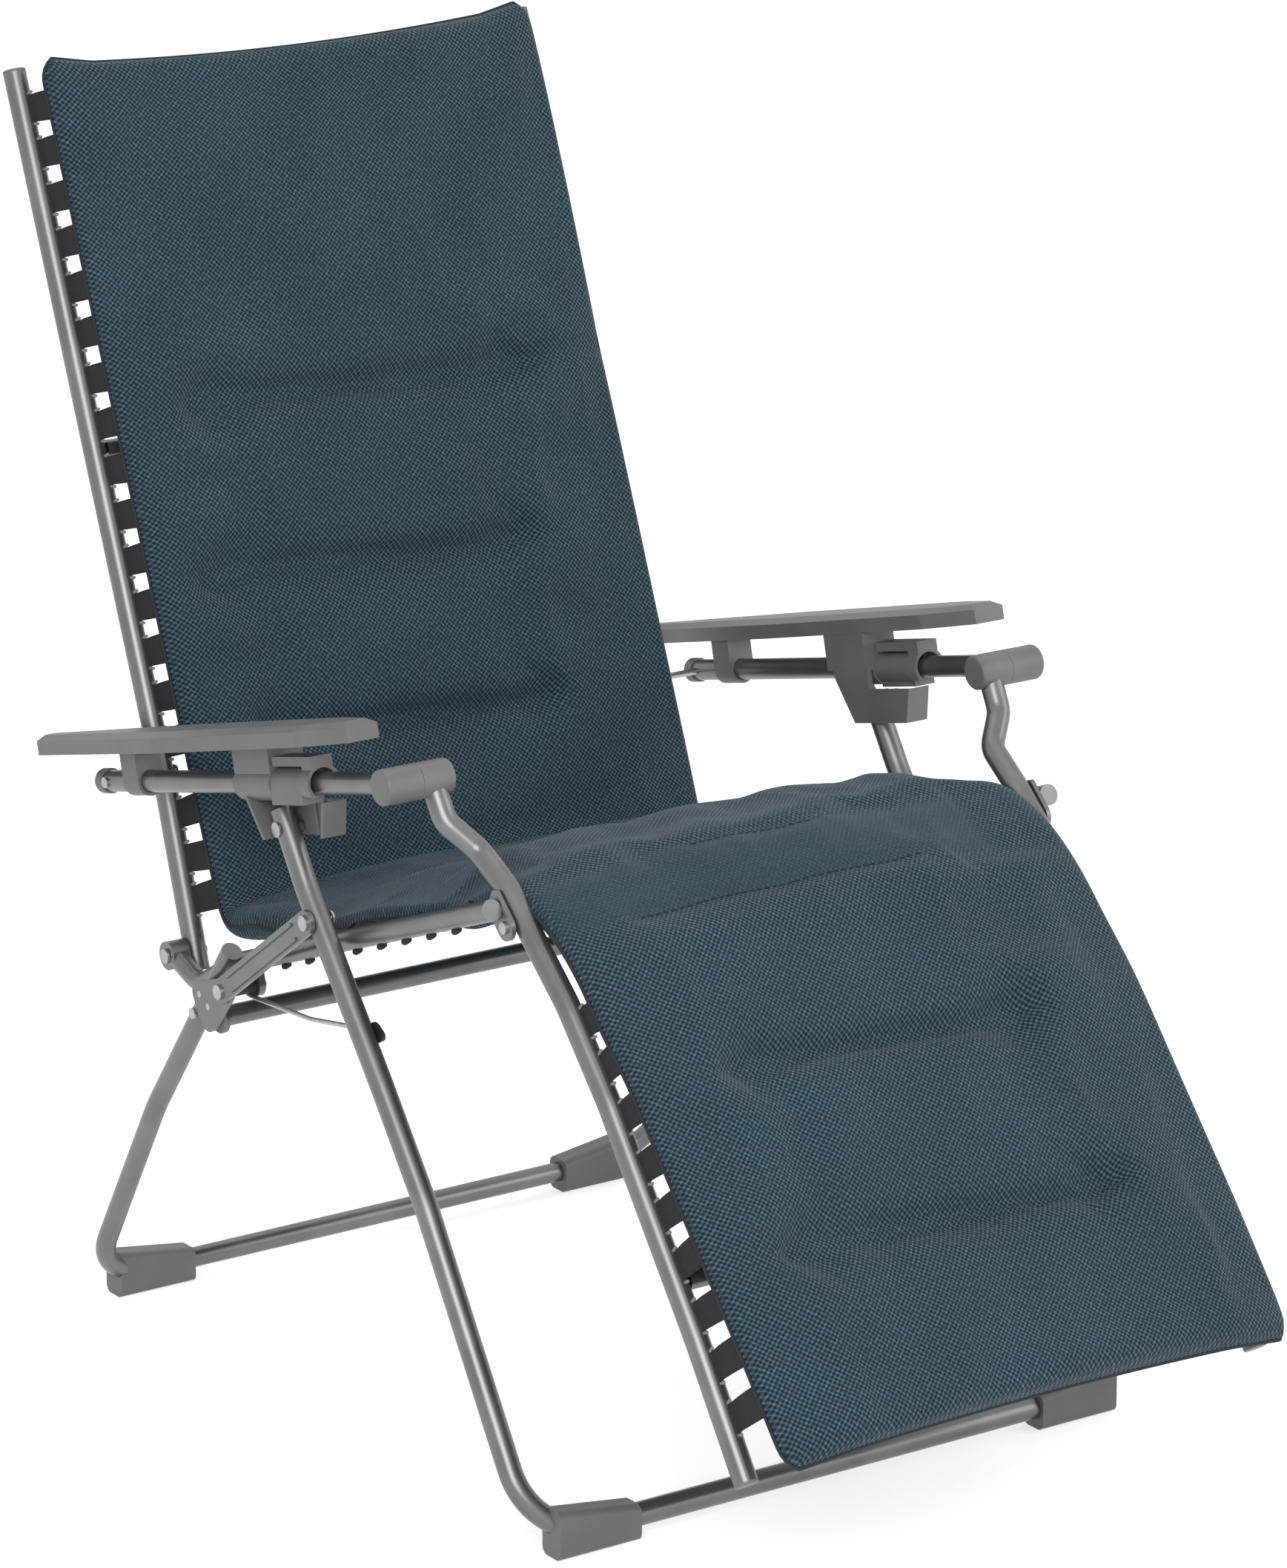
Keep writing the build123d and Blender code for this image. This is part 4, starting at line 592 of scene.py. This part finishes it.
def mat_mesh(name, keep):
    """Object of the mat's faces picked by keep, with its cloth coordinates."""
    faces = mat["faces"][keep]
    used, compact = np.unique(faces, return_inverse=True)
    mesh = bpy.data.meshes.new(name)
    mesh.from_pydata(mat["points"][used].tolist(), [], compact.reshape(faces.shape).tolist())
    layer = mesh.uv_layers.new(name="cloth")
    layer.data.foreach_set("uv", mat["uv"][keep].reshape(-1).astype(np.float32))
    mesh.polygons.foreach_set("use_smooth", [True] * len(mesh.polygons))
    upper_row, lower_row = STITCH_ROWS[0][0], STITCH_ROWS[1][0]
    panel = window(mat["s"][used], upper_row - PLAIN_OUTSIDE, upper_row + PLAIN_INSIDE,
                   lower_row - PLAIN_INSIDE, lower_row + PLAIN_OUTSIDE)
    reach = 1 - fade(np.abs(mat["x"][used] - PLAIN_CENTRE), *PLAIN_REACH)
    plain = mesh.attributes.new("plain", "FLOAT", "POINT")
    plain.data.foreach_set("value", (panel * reach * PLAIN_SHARE).astype(np.float32))
    mesh.materials.append(KNIT)
    mesh.update()
    return link(bpy.data.objects.new(name, mesh))


def seam_points(x, s):
    """Which points of the mat's front its rim, its channels and its stitched rows hold."""
    held = mat["seam"].copy()
    rows = [(channel_place(x, channel), *channel[1:3]) for channel in CHANNELS] + STITCH_ROWS
    for place, low, high in rows:
        held |= (np.abs(s - place) <= SEAM_REACH) & (x >= low) & (x <= high)
    return np.flatnonzero(held).tolist()


def puff():
    """Blows the mat's front up between its seams as cloth, and keeps the result in its points."""
    count = len(mat["seam"])
    start = mat["points"][:count].copy()
    faces = mat["faces"][:len(mat["faces"]) // 2]
    mesh = bpy.data.meshes.new("puffed")
    mesh.from_pydata(start.tolist(), [], faces.tolist())
    obj = link(bpy.data.objects.new("puffed", mesh))
    group = obj.vertex_groups.new(name="seams")
    group.add(seam_points(mat["x"][:count], mat["s"][:count]), 1.0, "REPLACE")
    cloth = obj.modifiers.new("cloth", "CLOTH")
    fabric = cloth.settings
    fabric.quality = 5
    fabric.mass = 0.3
    fabric.tension_stiffness = 60
    fabric.compression_stiffness = 30
    fabric.shear_stiffness = 20
    fabric.bending_stiffness = 0.5
    fabric.vertex_group_mass = "seams"
    fabric.use_pressure = True
    fabric.uniform_pressure_force = PUFF_PRESSURE
    fabric.effector_weights.gravity = 0
    cloth.collision_settings.use_self_collision = False
    cloth.collision_settings.use_collision = False
    for step in range(1, PUFF_FRAMES + 1):
        scene.frame_set(step)
    settled = obj.evaluated_get(bpy.context.evaluated_depsgraph_get()).data
    after = np.empty(count * 3)
    settled.vertices.foreach_get("co", after)
    shift = after.reshape(-1, 3) - start
    size = np.linalg.norm(shift, axis=1)
    limited = PUFF_LIMIT * np.tanh(size / PUFF_LIMIT)
    mat["points"][:count] += shift * (limited / np.maximum(size, 1e-9))[:, None]
    bpy.data.objects.remove(obj)
    scene.frame_set(1)


mat = build_mat()
puff()
upper_mat = mat_mesh("upper_mat", mat["cell_s"] < MID_SEAT)
lower_mat = mat_mesh("lower_mat", mat["cell_s"] >= MID_SEAT)


def point_at(distance, lift=0.0):
    """Side-view point of the mat at a distance from the head, lifted to its front."""
    y = np.interp(distance, mat["marks"], mat["line"][:, 0] + mat["front"][:, 0] * lift)
    z = np.interp(distance, mat["marks"], mat["line"][:, 1] + mat["front"][:, 1] * lift)
    return y, z


def tube_mesh(name, path, radius, sides, material):
    """Round tube along a list of points."""
    path = [Vector(p) for p in path]
    last = len(path) - 1
    verts, faces = [], []
    normal = (path[1] - path[0]).normalized().orthogonal().normalized()
    for i, point in enumerate(path):
        direction = (path[min(i + 1, last)] - path[max(i - 1, 0)]).normalized()
        normal = (normal - direction * normal.dot(direction)).normalized()
        side = direction.cross(normal)
        for k in range(sides):
            angle = 2 * math.pi * k / sides
            verts.append(point + (normal * math.cos(angle) + side * math.sin(angle)) * radius)
    skin(faces, 0, len(path), sides)
    return mesh_object(name, verts, faces, material)


def piping(name, low, high, end_row):
    """Dark piping round half of the mat: up one side, across the end and down the other."""
    rows, cols = mat["shape"]
    grid = mat["points"][:rows * cols].reshape(rows, cols, 3)
    keep = (mat["marks"] >= low) & (mat["marks"] <= high)
    outset = np.array([PIPING_OUTSET, 0, 0])
    right, left = grid[keep, 0] - outset, grid[keep, -1] + outset
    if end_row == 0:
        right, left = right[::-1], left[::-1]
    path = np.concatenate([right[:-1], grid[end_row], left[::-1][1:]])
    return tube_mesh(name, path, PIPING_RADIUS, PIPING_SIDES, PIPING)


upper_piping = piping("upper_piping", 0.0, MID_SEAT, 0)
lower_piping = piping("lower_piping", MID_SEAT, mat["length"], -1)


def stitches(name):
    """Rows of short raised stitches in the surface of the mat."""
    verts, faces = [], []
    for place, low, high in STITCH_ROWS:
        for i in range(int((high - low) / STITCH_PITCH)):
            x = low + (i + 0.5) * STITCH_PITCH
            surface = front_height(np.array([x]), np.array([place]), mat["length"])[0]
            y, z = point_at(place, surface + STITCH_LIFT)
            base = len(verts)
            for shift, scale in STITCH_PROFILE:
                radius = STITCH_RADIUS * scale
                for k in range(STITCH_SIDES):
                    angle = 2 * math.pi * k / STITCH_SIDES
                    verts.append((x + shift * STITCH_LENGTH, y + radius * math.cos(angle),
                                  z + radius * math.sin(angle)))
            skin(faces, base, len(STITCH_PROFILE), STITCH_SIDES, capped=False)
    return mesh_object(name, verts, faces, PIPING)


panel_stitches = stitches("panel_stitches")


def along_points(points, distance):
    """Point and direction at a distance along a run of side-view points."""
    for start, end in zip(points, points[1:]):
        run = math.dist(start, end)
        if distance <= run:
            break
        distance -= run
    way = ((end[0] - start[0]) / run, (end[1] - start[1]) / run)
    return (start[0] + way[0] * distance, start[1] + way[1] * distance), way


def nearest_seam(spot, low, high):
    """The mat's centre line nearest to a side-view spot: point, direction, distance."""
    keep = (mat["marks"] >= low) & (mat["marks"] <= high)
    line, heading = mat["line"][keep], mat["along"][keep]
    best = int(np.argmin(np.hypot(line[:, 0] - spot[0], line[:, 1] - spot[1])))
    return line[best], heading[best], mat["marks"][keep][best]


def tab(verts, faces, root, root_way, tip, tip_way, rng):
    """One soft tab of woven tape from a tube to the mat, slightly cupped and rippled."""
    reach = (tip - root).normalized()
    base = len(verts)
    lean = rng.uniform(-TAB_LEAN, TAB_LEAN)
    cup = rng.uniform(*TAB_CUP)
    for side in (1, -1):
        for i in range(TAB_CELLS + 1):
            v = i / TAB_CELLS
            way = (root_way * (1 - v) + tip_way * v).normalized()
            normal = way.cross(reach).normalized()
            half = TAB_HALF_AT_TUBE * (1 - v) + TAB_HALF_AT_MAT * v
            centre = root * (1 - v) + tip * v + normal * cup * math.sin(math.pi * v)
            for k in range(TAB_CELLS + 1):
                w = 2 * k / TAB_CELLS - 1
                thickness = side * TAB_HALF_THICKNESS * (1 - TAB_EDGE_THINNING * abs(w) ** 6)
                ripple = TAB_RIPPLE * math.sin(w * 7 + v * 5)
                verts.append(centre + way * (w * half + lean * v) + normal * (thickness + ripple))
    span = TAB_CELLS + 1
    layer = span * span
    for i in range(TAB_CELLS):
        for k in range(TAB_CELLS):
            a = base + i * span + k
            faces.append((a, a + 1, a + span + 1, a + span))
            b = a + layer
            faces.append((b, b + span, b + span + 1, b + 1))
    for i in range(TAB_CELLS):
        for edge in (0, TAB_CELLS):
            a, b = base + i * span + edge, base + (i + 1) * span + edge
            quad = (a, b, b + layer, a + layer)
            faces.append(quad if edge else quad[::-1])
    for edge in (0, TAB_CELLS):
        for k in range(TAB_CELLS):
            a = base + edge * span + k
            quad = (a, a + 1, a + 1 + layer, a + layer)
            faces.append(quad[::-1] if edge else quad)


def bead(verts, faces, start, end, radius):
    """Short rounded length of cord."""
    base = len(verts)
    way = end - start
    normal = way.orthogonal().normalized()
    side = way.normalized().cross(normal)
    for share, scale in BEAD_PROFILE:
        for k in range(BEAD_SIDES):
            angle = 2 * math.pi * k / BEAD_SIDES
            offset = normal * math.cos(angle) + side * math.sin(angle)
            verts.append(start + way * share + offset * radius * scale)
    skin(faces, base, len(BEAD_PROFILE), BEAD_SIDES)


def clip_row(name, body, node, tube, tube_x, tube_radius, distances, hold, tails=False):
    """Tabs, and the bits of elastic cord beside them, along both tubes of one frame."""
    rng = np.random.default_rng(len(name) * 7 + 3)
    tab_verts, tab_faces, cord_verts, cord_faces = [], [], [], []
    surface = tube_radius + TUBE_CLEARANCE
    for distance in distances:
        spot, heading = along_points(tube, distance)
        seam, seam_heading, seam_s = nearest_seam(spot, *hold)
        way, seam_way = Vector((0, *heading)), Vector((0, *seam_heading))
        hang = Vector((0, seam_heading[1], -seam_heading[0])) * droop(MAT_HALF_WIDTH, seam_s)
        for side in (-1, 1):
            centre = Vector((side * tube_x, *spot))
            target = Vector((side * (MAT_HALF_WIDTH - TAB_OVERLAP), *seam)) - hang
            reach = (target - centre).normalized()
            root = centre + reach * surface
            tab(tab_verts, tab_faces, root, way, target, seam_way, rng)
            for step in (-1, 1):
                start = root + way * step * TAB_HALF_AT_MAT - reach * BEAD_SINK
                end = start + reach * BEAD_LENGTH + way * step * BEAD_SPREAD
                bead(cord_verts, cord_faces, start, end, BEAD_RADIUS)
            if tails:
                down = Vector((0, heading[1], -heading[0]))
                if down.z > 0:
                    down = -down
                start = centre + down * surface - way * TAIL_START
                end = start + down * TAIL_DROP + way * TAIL_LENGTH
                bead(tab_verts, tab_faces, start, end, TAIL_RADIUS)
    tabs = mesh_object(name + "_tabs", tab_verts, tab_faces, TAPE)
    cords = mesh_object(name + "_cords", cord_verts, cord_faces, CORD)
    for piece in (tabs, cords):
        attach(piece, body)
    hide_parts(node)


clip_row("back_clip", "back", "back_clips", BACK_TUBE, BACK_TUBE_X, TUBE_RADIUS,
         BACK_PLACES, BACK_HOLD)
clip_row("seat_clip", "seat", "seat_clips", SEAT_TUBE, SEAT_TUBE_X, SEAT_TUBE_RADIUS,
         SEAT_PLACES, SEAT_HOLD, tails=True)
clip_row("leg_clip", "legrest", "legrest_clips", LEG_TUBE, LEG_TUBE_X, TUBE_RADIUS,
         LEG_PLACES, LEG_HOLD)

for piece in (upper_mat, upper_piping):
    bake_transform(piece)
for piece in (lower_mat, lower_piping, panel_stitches):
    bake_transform(piece)
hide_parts("back_mat", "crease_mat")
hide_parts("seat_mat", "knee_mat", "legrest_mat")


def shown_share(ns, ls, strength, least=0.0):
    """Strength for what the camera and glossy rays see, on top of the least strength."""
    path = ns.new("ShaderNodeLightPath").outputs
    seen = maths(ns, ls, "ADD", path["Is Camera Ray"], path["Is Glossy Ray"], clamp=True)
    return maths(ns, ls, "MULTIPLY_ADD", seen, strength, least)


def floor():
    """Pale floor whose own glow only the camera and glossy rays see."""
    material, ns, ls, out = tree("pale_floor")
    diffuse = add_node(ns, "ShaderNodeBsdfDiffuse", Color=(0.80, 0.80, 0.80, 1))
    glow = add_node(ns, "ShaderNodeEmission", Color=(1, 1, 1, 1))
    ls.new(shown_share(ns, ls, FLOOR_GLOW), glow.inputs["Strength"])
    both = ns.new("ShaderNodeAddShader")
    ls.new(diffuse.outputs[0], both.inputs[0])
    ls.new(glow.outputs[0], both.inputs[1])
    ls.new(both.outputs[0], out.inputs[0])
    half = FLOOR_HALF
    corners = [(-half, -half, 0), (half, -half, 0), (half, half, 0), (-half, half, 0)]
    obj = mesh_object("floor", corners, [(0, 1, 2, 3)], material, smooth=False)


def area_light(name, place, size, power):
    """Square soft light, turned to the chair."""
    light = bpy.data.lights.new(name, "AREA")
    light.shape = "SQUARE"
    light.size = size
    light.energy = power
    obj = link(bpy.data.objects.new(name, light))
    obj.location = place
    obj.rotation_euler = (LIGHT_TARGET - Vector(place)).to_track_quat("-Z", "Y").to_euler()


def world():
    """Even white surroundings, brighter where the camera and glossy rays see them."""
    scene.world = bpy.data.worlds.new("studio")
    scene.world.use_nodes = True
    ns, ls = scene.world.node_tree.nodes, scene.world.node_tree.links
    ns.clear()
    out = ns.new("ShaderNodeOutputWorld")
    sky = add_node(ns, "ShaderNodeBackground", Color=(1, 1, 1, 1))
    ls.new(shown_share(ns, ls, WORLD_SHOWN, WORLD_LIGHT), sky.inputs["Strength"])
    ls.new(sky.outputs[0], out.inputs[0])


def camera():
    """Camera at the photograph's angle."""
    flat = math.cos(CAMERA_ELEVATION)
    back = Vector((math.sin(CAMERA_AZIMUTH) * flat, -math.cos(CAMERA_AZIMUTH) * flat,
                   math.sin(CAMERA_ELEVATION)))
    right = Vector((math.cos(CAMERA_AZIMUTH), math.sin(CAMERA_AZIMUTH), 0))
    data = bpy.data.cameras.new("camera")
    data.sensor_fit = "HORIZONTAL"
    data.sensor_width = SENSOR_WIDTH
    data.lens = FOCAL_PIXELS / PHOTO_WIDTH * SENSOR_WIDTH
    data.clip_end = 100.0
    obj = link(bpy.data.objects.new("camera", data))
    matrix = Matrix((right, back.cross(right), back)).transposed().to_4x4()
    matrix.translation = CAMERA_PLACE
    obj.matrix_world = matrix
    scene.camera = obj


floor()
world()
area_light("key", (-2.4, -3.2, 2.3), 2.4, 100)
area_light("fill", (3.0, -2.6, 1.8), 2.6, 42)
area_light("top", (0.2, 1.2, 3.6), 2.6, 18)
camera()
scene.view_settings.view_transform = "Standard"
